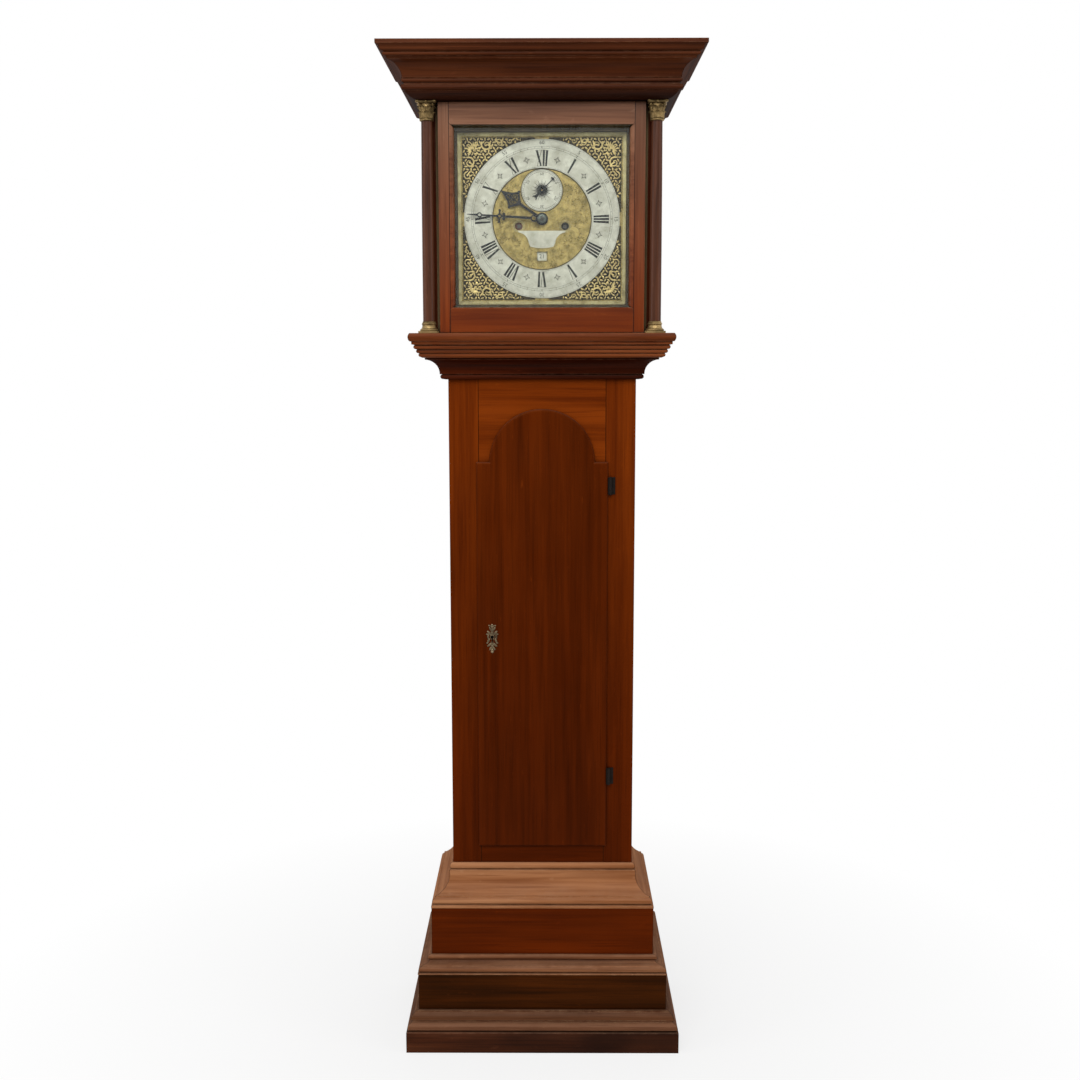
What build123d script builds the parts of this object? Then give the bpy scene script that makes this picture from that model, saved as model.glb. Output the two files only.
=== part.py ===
from build123d import *

import math
import os

# Longcase clock. All sizes are in millimetres. X runs to the viewer's right, Y to the back and Z up.
# The origin is on the floor, under the middle of the clock's widest outline.

# Case: heights from the floor, half-widths from the middle, and depths from the trunk's front face
CASE_DEPTH = 197
TRUNK_HALF = 173
BOARD = 20
BACK_BOARD = 12
PLINTH_HALF, PLINTH_TOP, PLINTH_BOARD = 260, 41, 22
BASE_MOULD_TOP = 77
LOWER_PANEL_HALF, LOWER_PANEL_TOP = 237, 147
MID_MOULD_TOP = 178
UPPER_PANEL_HALF, UPPER_PANEL_TOP = 213, 270
WAIST_MOULD_TOP = 347
PANEL_BOARD = 18
FLOOR_BOARD = 12
TRUNK_FOOT = 180
THROAT_FOOT, TRUNK_TOP = 1277, 1316

# Hood
HOOD_GAP = 0.3
HOOD_CLEARANCE = 2
SILL_TOP = 1360
CORNICE_FOOT, CORNICE_TOP = 1765, 1853
CORNICE_HALF = 284
HOOD_SIDE_INNER, HOOD_SIDE_OUTER = 190, 204
CORNICE_INNER = 176
HOOD_TOP_BOARD = 12
MASK_BOARD = 10
MASK_REVEAL = 1

# Hood door
HOOD_DOOR_HALF, HOOD_DOOR_THICK = 184, 22
HOOD_DOOR_AHEAD = 35
HOOD_DOOR_PLAY = 1.5
SIGHT_HALF, SIGHT_LOW, SIGHT_HIGH = 156.5, 1410.5, 1720
OVOLO = 8.5
GLASS_THICK, GLASS_SET, GLASS_REBATE = 3, 14, 6
GLASS_PLAY = 0.5
DOOR_PIVOT_IN, DOOR_PIVOT_DEEP, DOOR_PIVOT_R = 4.5, 1.5, 2
PIVOT_STRAP, PIVOT_DEPTH = 1.2, 6
RUNNING_FIT = 0.05

# Columns of the hood
COLUMN_X, COLUMN_AHEAD = 204, 31
SHAFT_FOOT_R, SHAFT_HEAD_R = 10.8, 9.8
CAPITAL_TALL, CAPITAL_HALF = 34, 18.5
BASE_TALL, BASE_HALF = 21, 18.5
ABACUS = 4

# Trunk door, arched with square shoulders
DOOR_HALF, DOOR_FOOT, DOOR_SHOULDER, DOOR_ARCH_R = 122.5, 381.5, 1124.5, 98
DOOR_LIP, DOOR_LIP_THICK, DOOR_THICK = 6, 7, 22
DOOR_PLAY = 1.5
DOOR_EDGE_ROUND = 4
HINGE_HEIGHTS = (1064, 505)
HINGE_TALL, HINGE_PIN_R, KNUCKLE_R = 32, 1.5, 3.2
HINGE_OUT, HINGE_AHEAD = 4.5, 5
LEAF = 1.2
FIXED_LEAF_WIDE = 9
ESCUTCHEON_X, ESCUTCHEON_Z = -94.5, 791
ESCUTCHEON_THICK = 1.6
LOCK_WIDE, LOCK_TALL, LOCK_DEEP, LOCK_WALL = 40, 44, 14, 1.5
BOLT_TALL, BOLT_THICK, BOLT_LONG = 13, 4, 24
BOLT_PLAY = 0.3

# Dial, hands and the arbors' places, from the dial's middle
DIAL_Z = 1565
DIAL_SIZE, DIAL_THICK, DIAL_SET_BACK = 304.8, 2, 2
CHAPTER_OUT_R, CHAPTER_IN_R, CHAPTER_THICK = 140.9, 90.5, 1.5
SECONDS_RISE = 50.9
SECONDS_PLATE_R, SMALL_PLATE = 36.8, 1
WINDING_X, WINDING_DROP, WINDING_HOLE_R, WINDING_SQUARE = 42, 12.5, 7, 5.5
DATE_DROP, DATE_WIDE, DATE_TALL = 66, 17, 15
DATE_RING_IN_R, DATE_RING_OUT_R = 55, 76
CARTOUCHE_TOP, CARTOUCHE_TALL, CARTOUCHE_TOP_HALF, CARTOUCHE_FOOT_HALF = 20.5, 31, 43.5, 21
HOUR_HAND_LONG, MINUTE_HAND_LONG, SECONDS_HAND_LONG = 90, 136, 33
HOUR_HAND_CLOCK, MINUTE_HAND_CLOCK, SECONDS_HAND_CLOCK = 304, 273.5, 45
HOUR_HEAD_LOW, HOUR_HEAD_HALF = 60, 16
HAND_THICK = 1.5
HOUR_HAND_LIFT, MINUTE_HAND_LIFT, SECONDS_HAND_LIFT = 4.5, 8, 2.5

# Movement: two brass plates and the trains between them
PLATE_HALF, PLATE_LOW, PLATE_HIGH, PLATE_THICK = 84, -76, 94, 3
DIAL_ROOM, PLATE_ROOM = 28, 60
PILLAR_R, PILLAR_INSET = 5.5, 9
DIAL_FOOT_R, DIAL_FOOT_X, DIAL_FOOT_Z = 4, 66, 62
SEAT_BOARD, SEAT_FRONT, SEAT_BACK = 22, 10, 66
ARBOR_R, PIVOT_R, CENTRE_PIVOT_R = 1.6, 0.9, 2
BARREL_R, BARREL_LINE_R, BARREL_LONG, BARREL_CAP_R = 20, 21, 32, 23
LINE_R = 0.75
WINDING_R = 4
HOUR_PIPE_R, HOUR_BORE_R, CANNON_R = 5.5, 4.05, 4
COCK_BEHIND, COCK_THICK = 10, 3
BELL_Z, BELL_R, BELL_TALL, BELL_WALL, BELL_HOLE_R = 100, 46, 40, 2.5, 3

# Tooth shape: how far it stands out and in, in modules, and its half-widths at root, pitch and tip, in pitches
WHEEL_TOOTH = (0.8, 1.3, 0.24, 0.21, 0.04)
MATCHED_TOOTH = (1.0, 1.3, 0.24, 0.21, 0.05)
PINION_LEAF = (0.7, 1.4, 0.22, 0.19, 0.06)
TRAIN_MODULE, STRIKE_MODULE, WARNING_MODULE, FLY_MODULE = 0.8, 0.75, 0.7, 0.6
GREAT_TEETH, CENTRE_LEAVES, CENTRE_TEETH, THIRD_LEAVES, THIRD_TEETH, ESCAPE_LEAVES = 96, 8, 60, 8, 56, 7
STRIKE_TEETH, PIN_LEAVES, PIN_TEETH, HOOP_LEAVES, HOOP_TEETH = 78, 8, 56, 7, 49
WARNING_LEAVES, WARNING_TEETH, FLY_LEAVES = 7, 48, 6
MOTION_TEETH, MOTION_MODULE, HOUR_TEETH, HOUR_LEAVES = 40, 0.6, 72, 6
ESCAPE_TEETH, ESCAPE_R, ESCAPE_DEEP, ESCAPE_THICK = 30, 19, 4.5, 1.2
NIB_ANGLE, NIB_CLEAR, NIB_THICK = 42, 0.25, 1
WHEEL_THICK = 2

# Pendulum and weights
PENDULUM_LONG = 994
PENDULUM_BEHIND = 22
SPRING_TOP = 4
ROD_R, BOB_R, BOB_THICK, BOB_RIM = 2.5, 55, 30, 8
CRUTCH_LONG = 108
WEIGHT_R, WEIGHT_LONG, WEIGHT_REST = 29, 190, 62
WEIGHT_FALL = 1055
PULLEY_LINE_R, PULLEY_R, PULLEY_THICK = 22, 25, 8
STIRRUP_RISE = 46
LINE_GAP = 0.25

# Places that follow from the sizes above
CORNICE_REACH = CORNICE_HALF - TRUNK_HALF
FRONT_Y = CORNICE_REACH - (CASE_DEPTH + CORNICE_REACH) / 2
BACK_Y = FRONT_Y + CASE_DEPTH
DIAL_FRONT = FRONT_Y + DIAL_SET_BACK
DIAL_BACK = DIAL_FRONT + DIAL_THICK
PLATE_FRONT = DIAL_BACK + DIAL_ROOM
INNER_FRONT = PLATE_FRONT + PLATE_THICK
INNER_BACK = INNER_FRONT + PLATE_ROOM
PLATE_BACK = INNER_BACK + PLATE_THICK
SEAT_TOP = DIAL_Z + PLATE_LOW
SEAT_LOW = SEAT_TOP - SEAT_BOARD
PALLET_RISE = SECONDS_RISE + ESCAPE_R / math.sin(math.radians(NIB_ANGLE))
PENDULUM_Y = PLATE_BACK + PENDULUM_BEHIND
COCK_Y = PLATE_BACK + COCK_BEHIND
BELL_Y = (PLATE_FRONT + PLATE_BACK) / 2
WINDING_Z = DIAL_Z - WINDING_DROP


def block(x0, x1, y0, y1, z0, z1):
    """A board between two corners."""
    return Pos((x0 + x1) / 2, (y0 + y1) / 2, (z0 + z1) / 2) * Box(abs(x1 - x0), abs(y1 - y0), abs(z1 - z0))


def rod_y(x, z, y0, y1, r):
    return Pos(x, y0, z) * Rot(-90, 0, 0) * Cylinder(r, y1 - y0, align=(Align.CENTER, Align.CENTER, Align.MIN))


def rod_z(x, y, z0, z1, r):
    return Pos(x, y, z0) * Cylinder(r, z1 - z0, align=(Align.CENTER, Align.CENTER, Align.MIN))


def outline(points):
    """A flat shape from its corners."""
    return make_face(Polyline(*points, close=True))


def front_slab(face, x, z, y0, y1):
    """A face drawn as seen from the front, made a slab from y0 back to y1."""
    plane = Plane(origin=(x, y1, z), x_dir=(1, 0, 0), z_dir=(0, -1, 0))
    return extrude(plane * face, amount=y1 - y0, dir=(0, -1, 0))


def plan_slab(face, z0, z1):
    return extrude(Pos(0, 0, z0) * face, amount=z1 - z0, dir=(0, 0, 1))


def turned(points, x, y, z0):
    """A turned piece about a vertical axis, from its (radius, height) points on one side."""
    section = Plane(origin=(x, y, z0), x_dir=(1, 0, 0), z_dir=(0, -1, 0)) * profile(points)
    return revolve(section, axis=Axis((x, y, 0), (0, 0, 1)))


def profile(points):
    """A closed section from points run down its outer side.

    A third number bends the stretch that ends there: its rise as a share of the stretch, positive outwards."""
    edges = []
    for a, b in zip(points, points[1:] + points[:1]):
        start, end = Vector(a[0], a[1]), Vector(b[0], b[1])
        if len(b) == 2:
            edges.append(Edge.make_line(start, end))
            continue
        run = end - start
        middle = (start + end) / 2 + Vector(-run.Y, run.X) * b[2]
        edges.append(Edge.make_three_point_arc(start, middle, end))
    return Face(Wire(edges))


def moulding(points, inner):
    """A front length and two side returns, mitred at the front corners.

    A point's first number is its half-width. It stands as far ahead of the trunk's front as out from its side."""
    reach = max(p[0] for p in points) + 5
    section = profile(points + [(inner, points[-1][1]), (inner, points[0][1])])
    low, high = min(p[1] for p in points) - 1, max(p[1] for p in points) + 1
    base_y = FRONT_Y + TRUNK_HALF
    corner, tip = (inner, base_y - inner), (reach, base_y - reach)
    front_plan = outline([(-tip[0], tip[1]), tip, corner, (-corner[0], corner[1])])
    side_plan = outline([corner, tip, (reach, BACK_Y), (inner, BACK_Y)])
    across = Plane(origin=(reach, base_y, 0), x_dir=(0, -1, 0), z_dir=(-1, 0, 0))
    along = Plane(origin=(0, BACK_Y, 0), x_dir=(1, 0, 0), z_dir=(0, -1, 0))
    front = extrude(across * section, amount=2 * reach, dir=(-1, 0, 0)) & plan_slab(front_plan, low, high)
    side = extrude(along * section, amount=BACK_Y - tip[1], dir=(0, -1, 0)) & plan_slab(side_plan, low, high)
    return [front, side, mirror(side, about=Plane.YZ)]


def ring_of(r, count, turn=0.0):
    return [
        (r * math.cos(turn + 2 * math.pi * k / count), r * math.sin(turn + 2 * math.pi * k / count))
        for k in range(count)
    ]


def crossing(inner_r, outer_r, start, end, steps=5):
    """The open window between two spokes of a wheel."""
    out = [start + (end - start) * k / steps for k in range(steps + 1)]
    return [(outer_r * math.cos(a), outer_r * math.sin(a)) for a in out] + [
        (inner_r * math.cos(a), inner_r * math.sin(a)) for a in reversed(out)
    ]


def toothed(teeth, module, turn, bore_r, tooth, spokes=0, rim=3.0, hub=6.0):
    """A gear's face: teeth with straight flanks, an eight-sided bore for its arbor and, on a wheel, spokes."""
    stand, sink, root, pitch, tip = tooth
    r = module * teeth / 2
    step = 2 * math.pi / teeth
    rows = [(r - sink * module, -root), (r, -pitch), (r + stand * module, -tip)]
    rows += [(radius, -half) for radius, half in reversed(rows)]
    start = math.radians(turn)
    points = [
        (radius * math.cos(start + (k + half) * step), radius * math.sin(start + (k + half) * step))
        for k in range(teeth)
        for radius, half in rows
    ]
    holes = [ring_of(bore_r / math.cos(math.pi / 8), 8, math.pi / 8)] if bore_r else []
    holes += windows(r - sink * module - rim, hub, spokes)
    return pierced(points, holes)


def windows(outer_r, hub, spokes):
    half = 1.6
    found = []
    for k in range(spokes):
        start, end = 2 * math.pi * k / spokes, 2 * math.pi * (k + 1) / spokes
        lean = math.asin(half / hub)
        found.append(crossing(hub, outer_r, start + lean * 0.8, end - lean * 0.8))
    return found


def pierced(points, holes):
    wires = [Wire.make_polygon([Vector(*p) for p in hole], close=True) for hole in holes]
    return Face(Wire.make_polygon([Vector(*p) for p in points], close=True), wires)


def in_mesh(place, teeth, turn, other, other_teeth):
    """The turn of another gear, in degrees, that puts its gap on this gear's tooth."""
    line = math.degrees(math.atan2(other[1] - place[1], other[0] - place[0]))
    return line + 180 - (turn - line) * teeth / other_teeth + 180 / other_teeth


def apart(teeth, other_teeth, module):
    return module * (teeth + other_teeth) / 2


def step_from(place, distance, angle):
    return place[0] + distance * math.cos(math.radians(angle)), place[1] + distance * math.sin(math.radians(angle))


def arbor(place, y0, y1, r=ARBOR_R):
    """An arbor between the plates, with a finer pivot at each end."""
    x, z = place[0], DIAL_Z + place[1]
    shoulder = 0.2
    shaft = rod_y(x, z, INNER_FRONT + shoulder, INNER_BACK - shoulder, r)
    return shaft + rod_y(x, z, y0, y1, PIVOT_R)


def gear(place, face, y0, y1):
    return front_slab(face, place[0], DIAL_Z + place[1], y0, y1)


# Places of the arbors, as seen from the front
CENTRE = (0, 0)
GOING = (WINDING_X, -WINDING_DROP)
STRIKING = (-WINDING_X, -WINDING_DROP)
ESCAPE = (0, SECONDS_RISE)
PALLET = (0, PALLET_RISE)
GREAT_MODULE = 2 * math.hypot(*GOING) / (GREAT_TEETH + CENTRE_LEAVES)
CENTRE_TO_THIRD = apart(CENTRE_TEETH, THIRD_LEAVES, TRAIN_MODULE)
THIRD_TO_ESCAPE = apart(THIRD_TEETH, ESCAPE_LEAVES, TRAIN_MODULE)
THIRD_RISE = (CENTRE_TO_THIRD**2 - THIRD_TO_ESCAPE**2 + SECONDS_RISE**2) / (2 * SECONDS_RISE)
THIRD = (math.sqrt(CENTRE_TO_THIRD**2 - THIRD_RISE**2), THIRD_RISE)
PIN = step_from(STRIKING, apart(STRIKE_TEETH, PIN_LEAVES, GREAT_MODULE), 95)
HOOP = step_from(PIN, apart(PIN_TEETH, HOOP_LEAVES, STRIKE_MODULE), 75)
WARNING = step_from(HOOP, apart(HOOP_TEETH, WARNING_LEAVES, WARNING_MODULE), 60)
FLY = step_from(WARNING, apart(WARNING_TEETH, FLY_LEAVES, FLY_MODULE), 100)
MOTION = (0, -apart(MOTION_TEETH, MOTION_TEETH, MOTION_MODULE))
HOUR_MODULE = 2 * abs(MOTION[1]) / (HOUR_TEETH + HOUR_LEAVES)
HAMMER = (-62, 42)

# Depths of the wheels behind the front plate
GREAT_DEPTH, GREAT_THICK = 44, 3
BARREL_DEPTH = 9
CENTRE_DEPTH = 4
THIRD_DEPTH = 30
ESCAPE_DEPTH = 51
PIN_DEPTH = 4
HOOP_DEPTH = 20
WARNING_DEPTH = 34
LINE_Y = INNER_FRONT + BARREL_DEPTH + BARREL_LONG / 2
PIVOT_PLACES = {
    "centre": CENTRE, "third": THIRD, "escape": ESCAPE, "going": GOING, "striking": STRIKING,
    "pin": PIN, "hoop": HOOP, "warning": WARNING, "fly": FLY, "hammer": HAMMER,
}


# Pivots wider than the others, in the front plate and in the back plate
WIDE_PIVOTS = {
    "centre": (CENTRE_PIVOT_R, PIVOT_R + 0.4),
    "going": (WINDING_R - 0.6, WINDING_R - 1.5),
    "striking": (WINDING_R - 0.6, WINDING_R - 1.5),
}


def depth(behind_front_plate):
    return INNER_FRONT + behind_front_plate


def make_case():
    pieces = {}
    side_inner = TRUNK_HALF - BOARD
    pieces["backboard"] = [
        block(-side_inner, side_inner, BACK_Y - BACK_BOARD, BACK_Y, TRUNK_FOOT, CORNICE_FOOT - HOOD_CLEARANCE)
    ]
    pieces["trunk_sides"] = [
        block(s * side_inner, s * TRUNK_HALF, FRONT_Y + BOARD, BACK_Y, TRUNK_FOOT, SEAT_LOW) for s in (-1, 1)
    ]
    pieces["trunk_front_frame"] = trunk_front()
    pieces["throat_moulding"] = moulding(
        [
            (212, TRUNK_TOP), (212, 1313), (187.5, 1288, -0.2), (187.5, 1286.5), (183, 1286.5),
            (183, 1278, 0.4), (177, THROAT_FOOT),
        ],
        TRUNK_HALF,
    )
    pieces["base_upper_moulding"] = moulding(
        [
            (175.5, WAIST_MOULD_TOP), (175.5, 334, 0.3), (180.5, 333), (180.5, 331), (202.5, 291.5, -0.18),
            (206, 291.5), (206, 289), (207, 288), (207, 276, 0.4), (213.5, 274), (213.5, UPPER_PANEL_TOP),
        ],
        TRUNK_HALF,
    )
    pieces["base_middle_moulding"] = moulding(
        [
            (217, MID_MOULD_TOP), (217, 169, 0.45), (217, 167), (224, 163, -0.15), (231, 162), (232, 160.5),
            (232, 150, 0.5), (238.5, 149), (238.5, LOWER_PANEL_TOP),
        ],
        UPPER_PANEL_HALF - PANEL_BOARD,
    )
    pieces["base_lower_moulding"] = moulding(
        [
            (243.5, BASE_MOULD_TOP), (244, 75), (252, 62, 0.12), (249, 60), (249, 57), (252.5, 55.5),
            (252.5, PLINTH_TOP, 0.4),
        ],
        LOWER_PANEL_HALF - PANEL_BOARD,
    )
    pieces["plinth"] = moulding(
        [(PLINTH_HALF - 1.5, PLINTH_TOP), (PLINTH_HALF, PLINTH_TOP - 1.5), (PLINTH_HALF, 0)],
        PLINTH_HALF - PLINTH_BOARD,
    ) + [block_across(PLINTH_HALF - PLINTH_BOARD, BACK_Y - PLINTH_BOARD, 0, PLINTH_TOP)]
    pieces["base_panels"] = base_panels()
    pieces["seatboard"] = [seatboard()]
    return pieces


def block_across(half, y0, z0, z1):
    return block(-half, half, y0, BACK_Y, z0, z1)


def base_panels():
    """The boards of the two stepped boxes of the base, their backs and the floor."""
    boards = []
    for half, low, high in (
        (LOWER_PANEL_HALF, BASE_MOULD_TOP, LOWER_PANEL_TOP),
        (UPPER_PANEL_HALF, MID_MOULD_TOP, UPPER_PANEL_TOP),
    ):
        boards += moulding([(half, high), (half, low)], half - PANEL_BOARD)
    inner, upper_inner = LOWER_PANEL_HALF - PANEL_BOARD, UPPER_PANEL_HALF - PANEL_BOARD
    back = BACK_Y - BACK_BOARD
    boards.append(block_across(inner, back, PLINTH_TOP + FLOOR_BOARD, LOWER_PANEL_TOP))
    boards.append(block_across(upper_inner, back, LOWER_PANEL_TOP, TRUNK_FOOT))
    boards += [
        block(side * TRUNK_HALF, side * upper_inner, back, BACK_Y, TRUNK_FOOT, UPPER_PANEL_TOP) for side in (-1, 1)
    ]
    front = FRONT_Y - (inner - TRUNK_HALF)
    boards.append(block(-inner, inner, front, BACK_Y, PLINTH_TOP, PLINTH_TOP + FLOOR_BOARD))
    return boards


def arched(half, low, shoulder, shoulder_half, arch_r, arch_z):
    """The door's outline: square shoulders, then a round arch."""
    corners = [(-shoulder_half, arch_z), (-shoulder_half, shoulder), (-half, shoulder), (-half, low)]
    corners += [(-x, z) for x, z in reversed(corners)]
    edges = [
        Edge.make_line(Vector(*a), Vector(*b))
        for a, b in zip(corners, corners[1:])
        if a != b
    ]
    top = Edge.make_three_point_arc(
        Vector(shoulder_half, arch_z), Vector(0, arch_z + arch_r), Vector(-shoulder_half, arch_z)
    )
    return Face(Wire(edges + [top]))


def door_shape(shrink):
    r = DOOR_ARCH_R - shrink
    return arched(DOOR_HALF - shrink, DOOR_FOOT + shrink, DOOR_SHOULDER - shrink, r, r, DOOR_SHOULDER)


def trunk_front():
    """Two stiles, the arched top rail and the bottom rail."""
    opening_half = DOOR_HALF - DOOR_LIP + DOOR_PLAY
    y0, y1 = FRONT_Y, FRONT_Y + BOARD
    opening = front_slab(door_shape(DOOR_LIP - DOOR_PLAY), 0, 0, y0 - 1, y1 + 1)
    rail_foot = DOOR_SHOULDER - DOOR_LIP + DOOR_PLAY
    stiles = [block(s * opening_half, s * TRUNK_HALF, y0, y1, TRUNK_FOOT, TRUNK_TOP) for s in (-1, 1)]
    top_rail = block(-opening_half, opening_half, y0, y1, rail_foot, TRUNK_TOP) - opening
    foot_top = DOOR_FOOT + DOOR_LIP - DOOR_PLAY
    foot_rail = block(-opening_half, opening_half, y0, y1, TRUNK_FOOT, foot_top)
    return stiles + [top_rail, foot_rail]


def seatboard():
    board = block(-TRUNK_HALF, TRUNK_HALF, PLATE_FRONT - SEAT_FRONT, SEAT_BACK, SEAT_LOW, SEAT_TOP)
    slot_half, margin = 5, 2
    for place in (GOING, STRIKING):
        falls = place[0] - BARREL_LINE_R
        board -= block(
            falls - slot_half, falls + slot_half, depth(BARREL_DEPTH) - margin,
            depth(BARREL_DEPTH + BARREL_LONG) + margin, SEAT_LOW - 1, SEAT_TOP + 1,
        )
        board -= rod_z(falls + 2 * PULLEY_LINE_R, LINE_Y, SEAT_LOW - 1, SEAT_TOP + 1, 2 * LINE_R)
    return board


def hinge_axis():
    return DOOR_HALF + HINGE_OUT, FRONT_Y - HINGE_AHEAD


def make_trunk_hinges():
    """Two small iron butt hinges: a fixed leaf with outer knuckles and pin, and a moving leaf with the middle one."""
    x, y = hinge_axis()
    third = HINGE_TALL / 3
    gap = 0.15
    fixed, moving = [], []
    for foot in HINGE_HEIGHTS:
        leaf = block(x, x + FIXED_LEAF_WIDE, FRONT_Y - LEAF, FRONT_Y, foot, foot + HINGE_TALL)
        for low in (foot, foot + 2 * third):
            web = block(x - KNUCKLE_R / 2, x + KNUCKLE_R, y, FRONT_Y, low, low + third - gap)
            leaf += web + rod_z(x, y, low, low + third - gap, KNUCKLE_R)
        leaf += rod_z(x, y, foot - 1, foot + HINGE_TALL + 1, HINGE_PIN_R)
        fixed.append(leaf)
        low, high = foot + third, foot + 2 * third - gap
        knuckle = rod_z(x, y, low, high, KNUCKLE_R) + block(DOOR_HALF, x, y, y + LEAF, low, high)
        plate = block(DOOR_HALF, DOOR_HALF + 1, FRONT_Y - DOOR_LIP_THICK + 1, FRONT_Y - 1, foot, foot + HINGE_TALL)
        bore = rod_z(x, y, low - 1, high + 1, HINGE_PIN_R + RUNNING_FIT)
        moving.append(plate + knuckle - bore)
    return {"trunk_hinge_fixed_leaves": fixed, "trunk_hinge_moving_leaves": moving}


def make_trunk_door():
    front = FRONT_Y - DOOR_LIP_THICK
    lip = front_slab(door_shape(0), 0, 0, front, FRONT_Y - HOOD_GAP)
    lip = fillet(lip.faces().sort_by(Axis.Y)[0].edges(), DOOR_EDGE_ROUND)
    core = front_slab(door_shape(DOOR_LIP), 0, 0, FRONT_Y - HOOD_GAP, front + DOOR_THICK)
    board = lip + core - keyhole(front - 1, front + DOOR_THICK + 1)
    back = front + DOOR_THICK
    x0 = -DOOR_HALF + DOOR_LIP + 2.5
    z0 = ESCUTCHEON_Z - LOCK_TALL / 2
    case = block(x0, x0 + LOCK_WIDE, back, back + LOCK_DEEP, z0, z0 + LOCK_TALL)
    w = LOCK_WALL
    case -= block(x0 + w, x0 + LOCK_WIDE - w, back - 1, back + LOCK_DEEP - w, z0 + w, z0 + LOCK_TALL - w)
    bolt_y = FRONT_Y + BOARD + 2 * BOLT_PLAY
    low = ESCUTCHEON_Z - BOLT_TALL / 2
    p = BOLT_PLAY
    case -= block(x0 - 1, x0 + 2 * w, bolt_y - p, bolt_y + BOLT_THICK + p, low - p, low + BOLT_TALL + p)
    bolt = block(x0 - 1, x0 - 1 + BOLT_LONG, bolt_y, bolt_y + BOLT_THICK, low, low + BOLT_TALL)
    ledge = block(x0 + w, x0 + BOLT_LONG + 8, bolt_y, bolt_y + BOLT_THICK + 2, low - p - 3, low - p)
    return {
        "trunk_door_board": [board],
        "trunk_door_lock": [case, ledge],
        "lock_bolt": [bolt],
        "escutcheon": [escutcheon(front)],
    }


def keyhole(y0, y1):
    r, slot = 3, 2.4
    tall = 11
    shape = rod_y(ESCUTCHEON_X, ESCUTCHEON_Z + r, y0, y1, r)
    return shape + block(
        ESCUTCHEON_X - slot / 2, ESCUTCHEON_X + slot / 2, y0, y1, ESCUTCHEON_Z - tall + r, ESCUTCHEON_Z + r
    )


def escutcheon(front):
    """A small cast plate with scrolled edges and a pierced top and bottom."""
    plate = Ellipse(9, 15) + Rectangle(6, 46)
    for side in (-1, 1):
        for rise, out, r in ((11, 8, 4.4), (-11, 8, 4.4), (0, 9, 3.4), (20, 4.5, 3.6), (-20, 4.5, 3.6)):
            plate += Pos(side * out, rise) * Circle(r)
    for rise, r in ((25, 3.6), (-25, 3.6), (21, 4), (-21, 4)):
        plate += Pos(0, rise) * Circle(r)
    for rise, r in ((19, 1.5), (-19, 1.5)):
        plate -= Pos(0, rise) * Circle(r)
        for side in (-1, 1):
            plate -= Pos(side * 8.5, rise * 0.58) * Circle(r)
    body = front_slab(plate, ESCUTCHEON_X, ESCUTCHEON_Z, front - ESCUTCHEON_THICK, front)
    return body - keyhole(front - ESCUTCHEON_THICK - 1, front + 1)


def make_hood():
    """The hood: a sill that rides on the throat moulding, two sides, mask, cornice, top board and columns."""
    sill = moulding(
        [
            (237, SILL_TOP), (237, 1345.5, 0.2), (234, 1345), (234, 1340), (228.5, 1339), (228.5, 1332, 0.3),
            (224.5, 1331), (224.5, 1325, 0.3), (221, 1324), (221, 1318.5, 0.25), (216, TRUNK_TOP + HOOD_GAP),
        ],
        TRUNK_HALF + HOOD_CLEARANCE,
    )
    cornice = moulding(
        [
            (CORNICE_HALF, CORNICE_TOP), (CORNICE_HALF, 1846.5), (282, 1845.5), (277.5, 1840.5, -0.2),
            (272.5, 1836, 0.2), (270.5, 1834.5), (270.5, 1829, 0.4), (267.5, 1828.5), (266, 1824.5),
            (243, 1798, -0.18), (241.5, 1796.5), (241.5, 1790, 0.45), (240.5, 1789.5), (240.5, 1787),
            (241.5, 1786.5), (241.5, 1777.5, 0.45), (239, 1777), (222, CORNICE_FOOT, 0.1),
        ],
        CORNICE_INNER,
    )
    x, y = door_pivot()
    bore = rod_z(x, y, SILL_TOP - PIVOT_DEPTH - 1, SILL_TOP + 1, DOOR_PIVOT_R + RUNNING_FIT)
    bore += rod_z(x, y, CORNICE_FOOT - 1, CORNICE_FOOT + PIVOT_DEPTH + 1, DOOR_PIVOT_R + RUNNING_FIT)
    sill[0] -= bore
    cornice[0] -= bore
    mask_y = FRONT_Y - HOOD_CLEARANCE - MASK_BOARD
    inner = HOOD_SIDE_INNER
    sides = [
        block(s * inner, s * HOOD_SIDE_OUTER, mask_y, BACK_Y, SILL_TOP, CORNICE_FOOT) for s in (-1, 1)
    ]
    top_y = FRONT_Y - (CORNICE_INNER - TRUNK_HALF)
    top_z = CORNICE_TOP - 1
    top = block(-CORNICE_INNER, CORNICE_INNER, top_y, BACK_Y, top_z - HOOD_TOP_BOARD, top_z)
    hole = DIAL_SIZE / 2 + MASK_REVEAL
    mask = block(-inner, inner, mask_y, mask_y + MASK_BOARD, SILL_TOP, CORNICE_FOOT)
    mask -= block(-hole, hole, mask_y - 1, mask_y + MASK_BOARD + 1, DIAL_Z - hole, DIAL_Z + hole)
    shafts, brasses = [], []
    for side in (-1, 1):
        shaft, brass = column(side)
        shafts.append(shaft)
        brasses += brass
    return {
        "hood_sill_moulding": sill, "hood_cornice": cornice, "hood_carcase": sides + [top],
        "hood_mask": [mask], "hood_columns": shafts, "column_brass_mounts": brasses,
    }


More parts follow.
